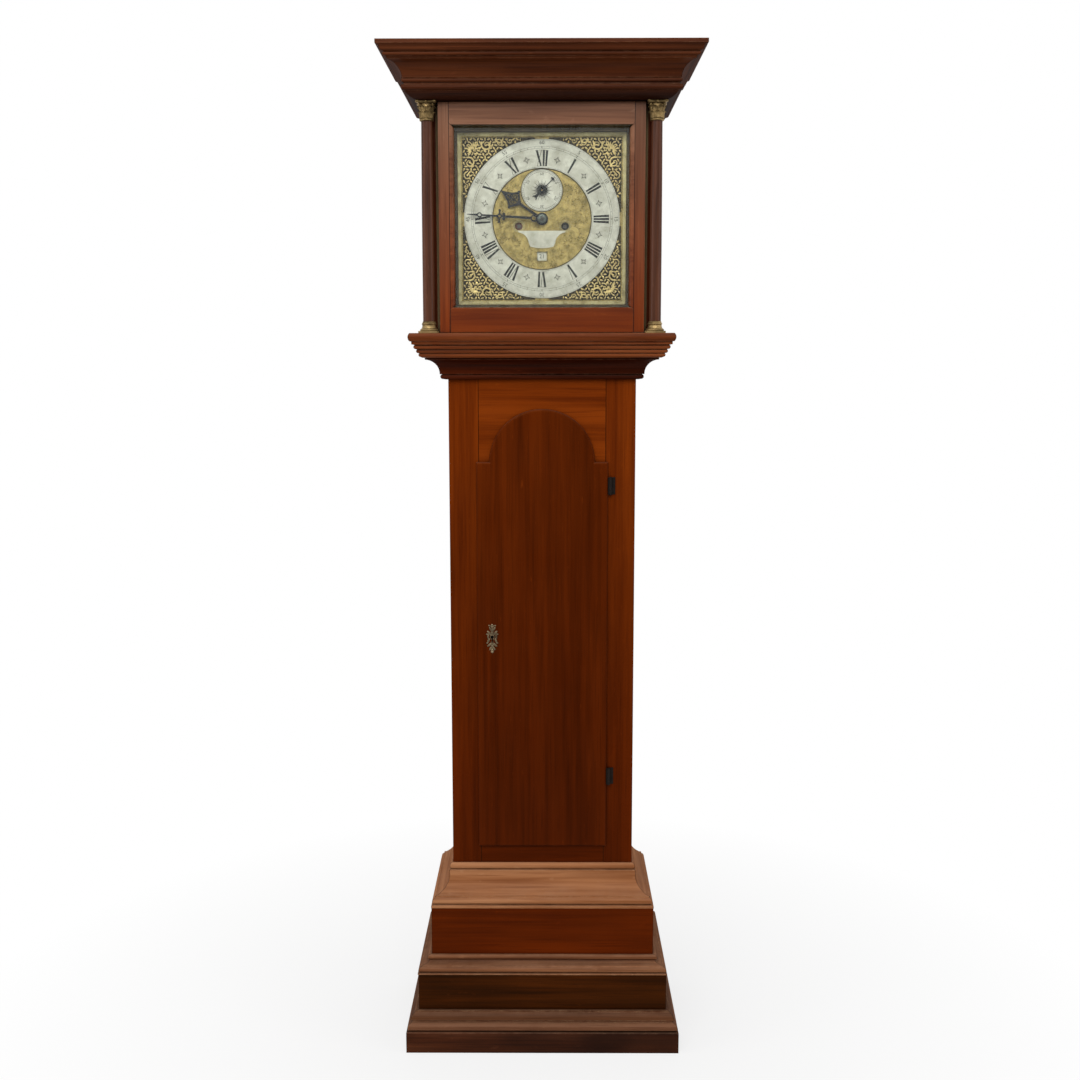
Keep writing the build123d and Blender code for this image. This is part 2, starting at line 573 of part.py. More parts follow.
def column(side):
    """A turned shaft between a moulded brass base and a leafy brass capital."""
    x, y = side * COLUMN_X, FRONT_Y - COLUMN_AHEAD
    foot, head = SILL_TOP + BASE_TALL, CORNICE_FOOT - CAPITAL_TALL
    shaft = turned([(0, head), (SHAFT_HEAD_R, head), (SHAFT_FOOT_R, foot, 0.001), (0, foot)], x, y, 0)
    foot_plate = block(x - BASE_HALF, x + BASE_HALF, y - BASE_HALF, y + BASE_HALF, SILL_TOP, SILL_TOP + ABACUS)
    base = turned(
        [
            (0, BASE_TALL), (12.5, BASE_TALL), (12.5, 17, 0.4), (12.5, 16), (15.5, 9.5, -0.3),
            (16, ABACUS, 0.45), (0, ABACUS),
        ],
        x, y, SILL_TOP,
    )
    neck = turned(
        [(0, 30), (15, 30), (11, 3.5, -0.06), (12.5, 3, 0.3), (12.5, 0, 0.5), (0, 0)], x, y, head
    )
    leaves = neck
    for k in range(8):
        tall = 14 if k % 2 else 23
        out_x, out_y = step_from((x, y), 11.5 + tall * 0.14, 45 * k)
        leaves += Pos(out_x, out_y, head + tall) * Sphere(3.4)
    top = CORNICE_FOOT
    plate = block(x - CAPITAL_HALF, x + CAPITAL_HALF, y - CAPITAL_HALF, y + CAPITAL_HALF, top - ABACUS, top)
    hollow_r = 60
    for quarter in range(4):
        lean = math.radians(90 * quarter)
        away = CAPITAL_HALF - 3 + hollow_r
        plate -= rod_z(x + away * math.cos(lean), y + away * math.sin(lean), top - ABACUS - 1, top + 1, hollow_r)
    return shaft, [foot_plate + base, leaves, plate]


def door_pivot():
    return HOOD_DOOR_HALF - DOOR_PIVOT_IN, FRONT_Y - HOOD_DOOR_AHEAD + DOOR_PIVOT_DEEP


def make_hood_door():
    """Two stiles and two rails with a mitred ovolo round the glass, and two iron pivots."""
    front = FRONT_Y - HOOD_DOOR_AHEAD
    back = front + HOOD_DOOR_THICK
    low, high = SILL_TOP + HOOD_DOOR_PLAY, CORNICE_FOOT - HOOD_DOOR_PLAY
    half, sight = HOOD_DOOR_HALF, SIGHT_HALF
    butt = sight + OVOLO

    def member(width):
        return profile(
            [
                (width, 0), (OVOLO, 0), (0, OVOLO - 0.5, 0.2), (0, GLASS_SET), (GLASS_REBATE, GLASS_SET),
                (GLASS_REBATE, HOOD_DOOR_THICK), (width, HOOD_DOOR_THICK),
            ]
        )

    def upright(side):
        plane = Plane(origin=(side * sight, front, low), x_dir=(side, 0, 0), z_dir=(0, 0, side))
        bar = extrude(plane * member(half - sight), amount=high - low, dir=(0, 0, 1))
        shape = [
            (sight, SIGHT_LOW), (sight, SIGHT_HIGH), (butt, SIGHT_HIGH + OVOLO), (butt, high), (half, high),
            (half, low), (butt, low), (butt, SIGHT_LOW - OVOLO),
        ]
        return bar & front_slab(outline([(side * x, z) for x, z in shape]), 0, 0, front - 1, back + 1)

    def rail(edge, end):
        up = 1 if end > edge else -1
        plane = Plane(origin=(-up * butt, front, edge), x_dir=(0, 0, up), z_dir=(up, 0, 0))
        bar = extrude(plane * member(abs(end - edge)), amount=2 * butt, dir=(up, 0, 0))
        shape = [(-sight, edge), (sight, edge), (butt, edge + up * OVOLO), (butt, end), (-butt, end)]
        shape.append((-butt, edge + up * OVOLO))
        return bar & front_slab(outline(shape), 0, 0, front - 1, back + 1)

    members = [upright(1), upright(-1), rail(SIGHT_HIGH, high), rail(SIGHT_LOW, low)]
    reach = GLASS_REBATE - GLASS_PLAY
    glass = block(
        -sight - reach, sight + reach, front + GLASS_SET, front + GLASS_SET + GLASS_THICK,
        SIGHT_LOW - reach, SIGHT_HIGH + reach,
    )
    x, y = door_pivot()
    pivots = []
    strap_in, strap_back = 26, 14
    for face, up in ((high, 1), (low, -1)):
        strap = block(half - strap_in, half, front, front + strap_back, face, face + up * PIVOT_STRAP)
        tip = face + up * (HOOD_DOOR_PLAY + PIVOT_DEPTH)
        pivots.append(strap + rod_z(x, y, min(face, tip), max(face, tip), DOOR_PIVOT_R))
    return {"hood_door_frame": members, "hood_door_glass": [glass], "hood_door_pivots": pivots}


def make_dial():
    half = DIAL_SIZE / 2
    y0, y1 = DIAL_FRONT, DIAL_BACK
    plate = block(-half, half, y0, y1, DIAL_Z - half, DIAL_Z + half)
    plate -= rod_y(0, DIAL_Z, y0 - 1, y1 + 1, HOUR_PIPE_R + 1)
    plate -= rod_y(0, DIAL_Z + SECONDS_RISE, y0 - 1, y1 + 1, ARBOR_R + 1)
    for side in (-1, 1):
        plate -= rod_y(side * WINDING_X, WINDING_Z, y0 - 1, y1 + 1, WINDING_HOLE_R)
    date_z = DIAL_Z - DATE_DROP
    plate -= block(-DATE_WIDE / 2, DATE_WIDE / 2, y0 - 1, y1 + 1, date_z - DATE_TALL / 2, date_z + DATE_TALL / 2)
    chapter = rod_y(0, DIAL_Z, y0 - CHAPTER_THICK, y0, CHAPTER_OUT_R)
    chapter -= rod_y(0, DIAL_Z, y0 - CHAPTER_THICK - 1, y0 + 1, CHAPTER_IN_R)
    seconds = rod_y(0, DIAL_Z + SECONDS_RISE, y0 - SMALL_PLATE, y0, SECONDS_PLATE_R)
    seconds -= rod_y(0, DIAL_Z + SECONDS_RISE, y0 - SMALL_PLATE - 1, y0 + 1, ARBOR_R + 1)
    top, foot = -CARTOUCHE_TOP, -CARTOUCHE_TOP - CARTOUCHE_TALL
    shape = [
        (-CARTOUCHE_TOP_HALF, top), (-CARTOUCHE_TOP_HALF + 2, top - 3), (-CARTOUCHE_FOOT_HALF - 3, foot + 9, 0.18),
        (-CARTOUCHE_FOOT_HALF, foot + 3), (CARTOUCHE_FOOT_HALF, foot + 3, -0.07),
        (CARTOUCHE_FOOT_HALF + 3, foot + 9), (CARTOUCHE_TOP_HALF - 2, top - 3, 0.18), (CARTOUCHE_TOP_HALF, top),
    ]
    cartouche = front_slab(profile(shape), 0, DIAL_Z, y0 - SMALL_PLATE, y0)
    for side in (-1, 1):
        cartouche -= rod_y(side * WINDING_X, WINDING_Z, y0 - 2 * SMALL_PLATE, y0 + 1, WINDING_HOLE_R + 0.5)
    ring = rod_y(0, DIAL_Z, y1 + 0.3, y1 + 1.3, DATE_RING_OUT_R)
    ring -= rod_y(0, DIAL_Z, y1, y1 + 2, DATE_RING_IN_R)
    clips = []
    clip_r = 2.5
    for k in range(4):
        x, z = step_from((0, 0), DATE_RING_IN_R - clip_r - 0.3, 45 + 90 * k)
        clips.append(rod_y(x, DIAL_Z + z, y1, y1 + 1.5, clip_r) + rod_y(x, DIAL_Z + z, y1 + 1.5, y1 + 2.3, clip_r + 2))
    return {
        "dial_plate": [plate] + clips,
        "chapter_ring": [chapter],
        "spandrels": [spandrel(sx, sz) for sx in (-1, 1) for sz in (-1, 1)],
        "dial_silvered_plates": [seconds, cartouche],
        "date_ring": [ring],
    }


def spandrel(side, up):
    """A cast openwork corner: a shell in the corner and leafy scrolls along both edges of the dial."""
    thick, corner = 2.2, DIAL_SIZE / 2 - 9
    lobes = [(0, 0, 9), (-10, -10, 10), (-22, -22, 7), (-16, 2, 7), (-29, 1, 6.5), (-41, 0, 5.5), (-52, 1, 4.5)]
    lobes += [(-27, -11, 6), (-39, -9, 4.5), (-61, 2, 3.2), (-48, -5, 3.4)]
    holes = [(-5, -5, 3), (-20, -9, 2.6), (-33, -4, 2.4), (-45, -1, 1.8), (-16, -16, 2.6)]
    shape = Pos(-14, -14) * Circle(12)
    for x, z, r in lobes:
        for px, pz in {(x, z), (z, x)}:
            shape += Pos(px, pz) * Circle(r)
    for x, z, r in holes:
        for px, pz in {(x, z), (z, x)}:
            shape -= Pos(px, pz) * Circle(r)
    body = front_slab(shape, corner, DIAL_Z + corner, DIAL_FRONT - thick, DIAL_FRONT)
    body -= rod_y(0, DIAL_Z, DIAL_FRONT - thick - 1, DIAL_FRONT + 1, CHAPTER_OUT_R + 0.5)
    if side < 0:
        body = mirror(body, about=Plane.YZ)
    if up < 0:
        body = mirror(body, about=Plane(origin=(0, 0, DIAL_Z), z_dir=(0, 0, 1)))
    return max(body.solids(), key=lambda solid: solid.volume)


def hand_plate(shape, clock, x, z, front, thick=HAND_THICK):
    """A hand drawn pointing up, turned to its place on the dial."""
    return front_slab(Rot(0, 0, -clock) * shape, x, z, front, front + thick)


def hour_hand_shape():
    """A pierced hand: a ring at the arbor, a plain stem and a broad head, whose tracery draws to a pointed tip."""
    low, half, long = HOUR_HEAD_LOW, HOUR_HEAD_HALF, HOUR_HAND_LONG
    neck = low - 13
    right = [(2.3, neck), (half, low), (half - 1, low + 3), (8.6, low + 10), (4.6, low + 18), (0.5, long)]
    shape = Circle(11) + Pos(0, (neck + 10) / 2) * Rectangle(4.6, neck - 8)
    shape += outline(right + [(-x, z) for x, z in reversed(right)])
    for side in (-1, 1):
        shape += Pos(side * half, low + 1) * Circle(2.4)
        opening = [(1.1, low - 7), (half - 4.5, low + 0.6), (6, low + 8), (2.6, low + 15), (1.1, low + 17)]
        shape -= outline([(side * x, z) for x, z in opening])
        shape += Pos(side * 4.6, low + 1.2) * (Circle(3.6) - Circle(2))
        shape += Pos(side * 3, low + 8) * (Circle(2.6) - Circle(1.2))
    return shape


def minute_hand_shape():
    """A slender hand with a pierced root, a cross at mid-length and a small loop near the tip."""
    shape = Circle(9) + Pos(0, 14) * Circle(6.5) - Pos(0, 14.5) * Circle(3.6)
    long = MINUTE_HAND_LONG
    shape += outline([(-2.4, 19), (2.4, 19), (1.9, 74), (-1.9, 74)])
    shape += Pos(0, 77) * Circle(4.6) + Pos(0, 77) * Rectangle(20, 2.6)
    for side in (-1, 1):
        shape += Pos(side * 10, 77) * Circle(2.3)
        shape += Pos(side * 4.2, 69) * Circle(2.6)
    shape -= Pos(0, 77) * Circle(2.2)
    shape += outline([(-1.9, 81), (1.9, 81), (1.4, 109), (-1.4, 109)])
    shape += Pos(0, 113) * Circle(4.6) - Pos(0, 113) * Circle(2.6)
    shape += outline([(-2, 117), (2, 117), (0.4, long), (-0.4, long)])
    return shape


def seconds_hand_shape():
    """A fine pointer with a small cross-piece, and a tail that ends in a crescent."""
    long = SECONDS_HAND_LONG
    shape = Circle(3.2) + outline([(-1, 2), (1, 2), (0.3, long), (-0.3, long)])
    shape += Pos(0, long - 5) * Rectangle(8, 2.4) + Pos(0, long - 5) * Circle(2.2)
    shape += outline([(-0.9, -2), (0.9, -2), (1.5, -14), (-1.5, -14)]) + Pos(0, -14) * Circle(2.4)
    return shape + Pos(0, -19) * (Circle(4.4) - Pos(0, -2.2) * Circle(3.8))


def make_hands():
    bore = Circle(HOUR_PIPE_R)
    hour_front = DIAL_FRONT - HOUR_HAND_LIFT - HAND_THICK
    minute_front = DIAL_FRONT - MINUTE_HAND_LIFT - HAND_THICK
    seconds_front = DIAL_FRONT - SECONDS_HAND_LIFT - 0.8
    hour = hand_plate(hour_hand_shape() - bore, HOUR_HAND_CLOCK, 0, DIAL_Z, hour_front)
    minute = hand_plate(minute_hand_shape() - Circle(CANNON_R), MINUTE_HAND_CLOCK, 0, DIAL_Z, minute_front)
    seconds = hand_plate(
        seconds_hand_shape() - Circle(PIVOT_R), SECONDS_HAND_CLOCK, 0, DIAL_Z + SECONDS_RISE, seconds_front, 0.8
    )
    return {"hour_hand": [hour], "minute_hand": [minute], "seconds_hand": [seconds]}


def make_going_train():
    great_turn = 0
    centre_turn = in_mesh(GOING, GREAT_TEETH, great_turn, CENTRE, CENTRE_LEAVES)
    third_turn = in_mesh(CENTRE, CENTRE_TEETH, 0, THIRD, THIRD_LEAVES)
    escape_turn = in_mesh(THIRD, THIRD_TEETH, 0, ESCAPE, ESCAPE_LEAVES)
    great = gear(
        GOING, toothed(GREAT_TEETH, GREAT_MODULE, great_turn, WINDING_R + 0.35, WHEEL_TOOTH, 4, 4, 12),
        depth(GREAT_DEPTH), depth(GREAT_DEPTH + GREAT_THICK),
    )
    minute_tip = DIAL_FRONT - MINUTE_HAND_LIFT - HAND_THICK - 1.5
    motion_y = PLATE_FRONT - 6
    arbor_body = rod_y(0, DIAL_Z, INNER_FRONT + 0.2, INNER_BACK - 0.2, 2.2)
    arbor_body += rod_y(0, DIAL_Z, INNER_BACK - 1, PLATE_BACK, PIVOT_R + 0.4)
    arbor_body += rod_y(0, DIAL_Z, PLATE_FRONT - 1, INNER_FRONT + 1, CENTRE_PIVOT_R)
    arbor_body += rod_y(0, DIAL_Z, minute_tip, PLATE_FRONT - 0.5, CANNON_R)
    boss = rod_y(0, DIAL_Z, minute_tip - 1.5, minute_tip, 2.5)
    centre = [
        arbor_body + boss,
        gear(CENTRE, toothed(CENTRE_TEETH, TRAIN_MODULE, 0, 2.2, WHEEL_TOOTH, 4), depth(CENTRE_DEPTH),
             depth(CENTRE_DEPTH + WHEEL_THICK)),
        gear(CENTRE, pinion_face(CENTRE_LEAVES, GREAT_MODULE, centre_turn, None), depth(GREAT_DEPTH - 2),
             depth(GREAT_DEPTH + GREAT_THICK + 2)),
        gear(CENTRE, toothed(MOTION_TEETH, MOTION_MODULE, 0, CANNON_R, MATCHED_TOOTH), motion_y, motion_y + 1.6),
    ]
    centre[0] -= rod_y(0, DIAL_Z, depth(GREAT_DEPTH - 2), depth(GREAT_DEPTH + GREAT_THICK + 2), 3)
    third = [
        arbor(THIRD, PLATE_FRONT, PLATE_BACK, 1.3),
        gear(THIRD, pinion_face(THIRD_LEAVES, TRAIN_MODULE, third_turn, 1.3), depth(CENTRE_DEPTH - 1),
             depth(CENTRE_DEPTH + WHEEL_THICK + 2)),
        gear(THIRD, toothed(THIRD_TEETH, TRAIN_MODULE, 0, 1.3, WHEEL_TOOTH, 4), depth(THIRD_DEPTH),
             depth(THIRD_DEPTH + WHEEL_THICK)),
    ]
    seconds_tip = DIAL_FRONT - SECONDS_HAND_LIFT - 1.2
    escape = [
        arbor(ESCAPE, seconds_tip, PLATE_BACK, 1.3),
        gear(ESCAPE, pinion_face(ESCAPE_LEAVES, TRAIN_MODULE, escape_turn, 1.3), depth(THIRD_DEPTH - 2),
             depth(THIRD_DEPTH + WHEEL_THICK + 2)),
        gear(ESCAPE, escape_face(), depth(ESCAPE_DEPTH), depth(ESCAPE_DEPTH) + ESCAPE_THICK),
    ]
    stud_turn = in_mesh(CENTRE, MOTION_TEETH, 0, MOTION, MOTION_TEETH)
    hour_y = motion_y - 6
    leaf_turn = 0
    hour_turn = in_mesh(MOTION, HOUR_LEAVES, leaf_turn, CENTRE, HOUR_TEETH)
    motion = [
        gear(MOTION, toothed(MOTION_TEETH, MOTION_MODULE, stud_turn, 1.0, MATCHED_TOOTH), motion_y, motion_y + 1.6),
        gear(MOTION, pinion_face(HOUR_LEAVES, HOUR_MODULE, leaf_turn, None), hour_y - 1, motion_y),
    ]
    stud = rod_y(MOTION[0], DIAL_Z + MOTION[1], motion_y, PLATE_FRONT, 1.0 - RUNNING_FIT)
    hour_pipe = rod_y(0, DIAL_Z, DIAL_FRONT - HOUR_HAND_LIFT - HAND_THICK - 0.4, hour_y + 2, HOUR_PIPE_R)
    hour_pipe -= rod_y(0, DIAL_Z, DIAL_FRONT - HOUR_HAND_LIFT - HAND_THICK - 1, hour_y + 3, HOUR_BORE_R)
    hour = [
        hour_pipe,
        gear(CENTRE, toothed(HOUR_TEETH, HOUR_MODULE, hour_turn, HOUR_PIPE_R, WHEEL_TOOTH), hour_y, hour_y + 1.6),
    ]
    pallets = make_pallets()
    return {
        "going_great_wheel": [great], "centre_arbor": centre, "third_wheel": third, "escape_wheel": escape,
        "minute_wheel": motion, "hour_wheel": hour, "pallets": pallets,
    }, stud


def pinion_face(leaves, module, turn, bore_r):
    return toothed(leaves, module, turn, bore_r, PINION_LEAF)


def escape_face():
    """Thirty pointed teeth that lean one way, on a thin rim with four spokes."""
    points = []
    step = 2 * math.pi / ESCAPE_TEETH
    for k in range(ESCAPE_TEETH):
        floor_r = ESCAPE_R - ESCAPE_DEEP
        for r, share in ((floor_r, -0.22), (ESCAPE_R, -0.03), (ESCAPE_R, 0.03), (floor_r, 0.32)):
            a = (k + share) * step
            points.append((r * math.cos(a), r * math.sin(a)))
    holes = [ring_of(1.3 / math.cos(math.pi / 8), 8, math.pi / 8)]
    holes += windows(ESCAPE_R - ESCAPE_DEEP - 1.8, 4, 4)
    return pierced(points, holes)


def make_pallets():
    """The anchor over the escape wheel, its arbor, and the crutch that pushes the pendulum."""
    low = -(PALLET_RISE - SECONDS_RISE)
    nib_low, nib_high = ESCAPE_R + NIB_CLEAR, ESCAPE_R + 5
    lean = math.radians(NIB_ANGLE)
    out, across = (math.cos(lean), math.sin(lean)), (-math.sin(lean), math.cos(lean))
    half = NIB_THICK / 2

    def at(radius, shift):
        return radius * out[0] + shift * across[0], low + radius * out[1] + shift * across[1]

    right = [at(nib_low, -half), at(nib_high, -3), (5.5, -3.5), (5.5, 3.5)]
    inner = [at(nib_low, half), at(nib_high - 1.2, half + 0.4), (0, -5)]
    points = right + [(-x, z) for x, z in reversed(right)] + [(-x, z) for x, z in inner[:2]]
    points += [inner[2]] + [inner[1], inner[0]]
    face = pierced(points, [ring_of(1.3 / math.cos(math.pi / 8), 8, math.pi / 8)])
    y0 = depth(ESCAPE_DEPTH) - 1
    anchor = gear(PALLET, face, y0, y0 + 3)
    x, z = PALLET[0], DIAL_Z + PALLET[1]
    shaft = rod_y(x, z, INNER_FRONT + 0.2, COCK_Y - 0.2, 1.3) + rod_y(x, z, PLATE_FRONT, COCK_Y + COCK_THICK, PIVOT_R)
    crutch_y = PLATE_BACK + 5
    fork_z = z - CRUTCH_LONG
    crutch = rod_y(x, z, crutch_y - 2, crutch_y + 2, 4) - rod_y(x, z, crutch_y - 3, crutch_y + 3, 1.3)
    crutch += rod_z(x, crutch_y, fork_z, z - 3.5, 1.2)
    tine, gap = 1.5, ROD_R + 0.3
    crutch += block(-gap - tine, gap + tine, crutch_y - 1.2, crutch_y + 1.2, fork_z - 2, fork_z + 2)
    for side in (-1, 1):
        crutch += block(side * gap, side * (gap + tine), crutch_y - 1.2, PENDULUM_Y + ROD_R + 2, fork_z - 2, fork_z + 2)
    return [anchor, shaft, crutch]


def make_barrels():
    """Grooved barrels with winding squares: the lines wind on them as the weights are raised."""
    pieces = {}
    for name, place in (("going_barrel", GOING), ("strike_barrel", STRIKING)):
        x, z = place[0], DIAL_Z + place[1]
        y0 = depth(BARREL_DEPTH)
        y1 = y0 + BARREL_LONG
        drum = rod_y(x, z, y0, y1, BARREL_R)
        drum += rod_y(x, z, y0 - 2, y0, BARREL_CAP_R) + rod_y(x, z, y1, y1 + 1.5, BARREL_CAP_R)
        shaft = rod_y(x, z, INNER_FRONT + 0.2, INNER_BACK - 0.2, WINDING_R)
        shaft += rod_y(x, z, PLATE_FRONT - 1, INNER_FRONT + 1, WINDING_R - 0.6)
        shaft += rod_y(x, z, INNER_BACK - 1, PLATE_BACK, WINDING_R - 1.5)
        half = WINDING_SQUARE / 2
        square = block(x - half, x + half, DIAL_FRONT + 1, PLATE_FRONT - 1, z - half, z + half)
        pieces[name] = [drum + shaft + square]
    return pieces


def make_strike_train():
    """Great wheel with its count wheel, pin wheel, hoop wheel, warning wheel and fly."""
    great_turn = 0
    pin_turn = in_mesh(STRIKING, STRIKE_TEETH, great_turn, PIN, PIN_LEAVES)
    hoop_turn = in_mesh(PIN, PIN_TEETH, 0, HOOP, HOOP_LEAVES)
    warning_turn = in_mesh(HOOP, HOOP_TEETH, 0, WARNING, WARNING_LEAVES)
    fly_turn = in_mesh(WARNING, WARNING_TEETH, 0, FLY, FLY_LEAVES)
    great_y = depth(GREAT_DEPTH)
    great = [
        gear(STRIKING, toothed(STRIKE_TEETH, GREAT_MODULE, 0, WINDING_R + 0.35, WHEEL_TOOTH, 4, 4, 12),
             great_y, great_y + GREAT_THICK),
        gear(STRIKING, count_face(), great_y + GREAT_THICK, great_y + GREAT_THICK + 2),
    ]
    pin_y = depth(PIN_DEPTH)
    pin = [
        arbor(PIN, PLATE_FRONT, PLATE_BACK),
        gear(PIN, pinion_face(PIN_LEAVES, GREAT_MODULE, pin_turn, ARBOR_R), great_y - 2, great_y + GREAT_THICK + 0.5),
        gear(PIN, toothed(PIN_TEETH, STRIKE_MODULE, 0, ARBOR_R, WHEEL_TOOTH, 4), pin_y, pin_y + WHEEL_THICK),
    ]
    for x, z in ring_of(17.3, 8, math.radians(20)):
        pin.append(rod_y(PIN[0] + x, DIAL_Z + PIN[1] + z, pin_y - 3, pin_y, 0.7))
    hoop_y = depth(HOOP_DEPTH)
    fine = 1.1
    hoop = [
        arbor(HOOP, PLATE_FRONT, PLATE_BACK, fine),
        gear(HOOP, pinion_face(HOOP_LEAVES, STRIKE_MODULE, hoop_turn, fine), pin_y - 1, pin_y + WHEEL_THICK + 2),
        gear(HOOP, toothed(HOOP_TEETH, WARNING_MODULE, 0, fine, WHEEL_TOOTH, 4), hoop_y, hoop_y + WHEEL_THICK),
    ]
    warning_y = depth(WARNING_DEPTH)
    warning = [
        arbor(WARNING, PLATE_FRONT, PLATE_BACK, fine),
        gear(WARNING, pinion_face(WARNING_LEAVES, WARNING_MODULE, warning_turn, fine), hoop_y - 1,
             hoop_y + WHEEL_THICK + 1),
        gear(WARNING, toothed(WARNING_TEETH, FLY_MODULE, 0, fine, WHEEL_TOOTH, 4, 2.5, 4), warning_y,
             warning_y + WHEEL_THICK),
    ]
    vane_half, vane_long = 10, 22
    vane = block(-vane_half, vane_half, depth(6), depth(6) + vane_long, -0.3, 0.3)
    vane += rod_y(0, 0, depth(6), depth(6) + vane_long, 2)
    vane -= rod_y(0, 0, depth(5), depth(8) + vane_long, 0.9)
    fly = [
        arbor(FLY, PLATE_FRONT, PLATE_BACK, 0.9),
        Pos(FLY[0], 0, DIAL_Z + FLY[1]) * vane,
        gear(FLY, pinion_face(FLY_LEAVES, FLY_MODULE, fly_turn, None), warning_y - 1, warning_y + WHEEL_THICK + 1),
    ]
    fly[0] -= rod_y(FLY[0], DIAL_Z + FLY[1], warning_y - 1, warning_y + WHEEL_THICK + 1, 2)
    return {
        "strike_great_wheel": great, "pin_wheel": pin, "hoop_wheel": hoop, "warning_wheel": warning, "fly": fly,
    }


def count_face():
    """A disc with a slot after each count of blows from one to twelve."""
    points = []
    total = 78
    struck = 0
    rim, floor_r = 24, 21
    for hour in range(1, 13):
        start = 2 * math.pi * struck / total
        end = 2 * math.pi * (struck + hour - 0.5) / total
        steps = max(1, hour // 2)
        arc = [start + (end - start) * k / steps for k in range(steps + 1)]
        points += [(rim * math.cos(a), rim * math.sin(a)) for a in arc]
        gap = 2 * math.pi * 0.1 / total
        points += [(floor_r * math.cos(end + gap), floor_r * math.sin(end + gap))]
        struck += hour
        last = 2 * math.pi * struck / total - gap
        points += [(floor_r * math.cos(last), floor_r * math.sin(last))]
    return pierced(points, [ring_of((WINDING_R + 0.35) / math.cos(math.pi / 8), 8, math.pi / 8)])


def make_frame(stud):
    """Two plates held apart by turned pillars, with the dial's feet, the motion stud, cocks and bell stand."""
    y_front, y_back = (PLATE_FRONT, INNER_FRONT), (INNER_BACK, PLATE_BACK)
    plates = []
    for y0, y1 in (y_front, y_back):
        plate = block(-PLATE_HALF, PLATE_HALF, y0, y1, DIAL_Z + PLATE_LOW, DIAL_Z + PLATE_HIGH)
        for name, (x, z) in PIVOT_PLACES.items():
            radius = WIDE_PIVOTS.get(name, (PIVOT_R, PIVOT_R))[y0 != PLATE_FRONT]
            plate -= rod_y(x, DIAL_Z + z, y0 - 1, y1 + 1, radius + RUNNING_FIT)
        pallet_hole = PIVOT_R + RUNNING_FIT if y0 == PLATE_FRONT else 6
        plate -= rod_y(PALLET[0], DIAL_Z + PALLET[1], y0 - 1, y1 + 1, pallet_hole)
        plates.append(plate)
    pillars = []
    for sx in (-1, 1):
        for z in (PLATE_LOW + PILLAR_INSET, PLATE_HIGH - PILLAR_INSET):
            x = sx * (PLATE_HALF - PILLAR_INSET)
            pillars.append(pillar(x, DIAL_Z + z))
    feet = [
        rod_y(sx * DIAL_FOOT_X, DIAL_Z + z, DIAL_BACK, PLATE_FRONT, DIAL_FOOT_R)
        for sx in (-1, 1)
        for z in (-DIAL_FOOT_Z, DIAL_FOOT_Z)
    ]
    return {
        "movement_plates": plates,
        "movement_pillars": pillars + feet + [stud],
        "movement_cocks": [back_cock(), bell_stand()],
        "bell": [bell()],
        "hammer": hammer(),
    }


def pillar(x, z):
    body = rod_y(x, z, INNER_FRONT, INNER_BACK, PILLAR_R * 0.7)
    middle = (INNER_FRONT + INNER_BACK) / 2
    for y0, y1 in ((INNER_FRONT, INNER_FRONT + 5), (middle - 4, middle + 4), (INNER_BACK - 5, INNER_BACK)):
        body += rod_y(x, z, y0, y1, PILLAR_R)
    return body


def back_cock():
    """The bracket behind the back plate: it holds the pallet arbor's back pivot and the pendulum's spring."""
    z = DIAL_Z + PALLET[1]
    half, leg, tall = 18, 6, 12
    body = block(-half, half, COCK_Y, COCK_Y + COCK_THICK, z - tall / 2, z + tall)
    for side in (-1, 1):
        body += block(side * (half - leg), side * half, PLATE_BACK, COCK_Y, z - tall / 2, z + tall / 2)
    body += block(-4, 4, COCK_Y + COCK_THICK, PENDULUM_Y + 5, z + SPRING_TOP + 0.3, z + tall)
    return body - rod_y(0, z, COCK_Y - 1, COCK_Y + COCK_THICK + 1, PIVOT_R + RUNNING_FIT)


def bell_stand():
    """An iron strip from the back plate that rises and bends over to hold the bell by its crown."""
    z = DIAL_Z
    top = z + BELL_Z + BELL_TALL
    side, half, lift, strip = BELL_R + 5, 4, 5, 3
    body = block(side - half, side + half, PLATE_BACK, PLATE_BACK + strip, z + PLATE_HIGH - 26, top + lift + strip)
    body += block(side - half, side + half, BELL_Y - half, PLATE_BACK, top + lift, top + lift + strip)
    body += block(0, side, BELL_Y - half, BELL_Y + half, top + lift, top + lift + strip)
    body += rod_z(0, BELL_Y, top, top + lift + 1, BELL_HOLE_R + 2.5)
    return body + rod_z(0, BELL_Y, top - BELL_WALL - 8, top + 1, BELL_HOLE_R)


def bell():
    r, t, h = BELL_R, BELL_WALL, BELL_TALL
    return turned(
        [
            (BELL_HOLE_R, h), (r * 0.62, h), (r, 0, 0.12), (r - t, 0), (r * 0.62 - t, h - t, -0.12),
            (BELL_HOLE_R, h - t),
        ],
        0, BELL_Y, DIAL_Z + BELL_Z,
    )


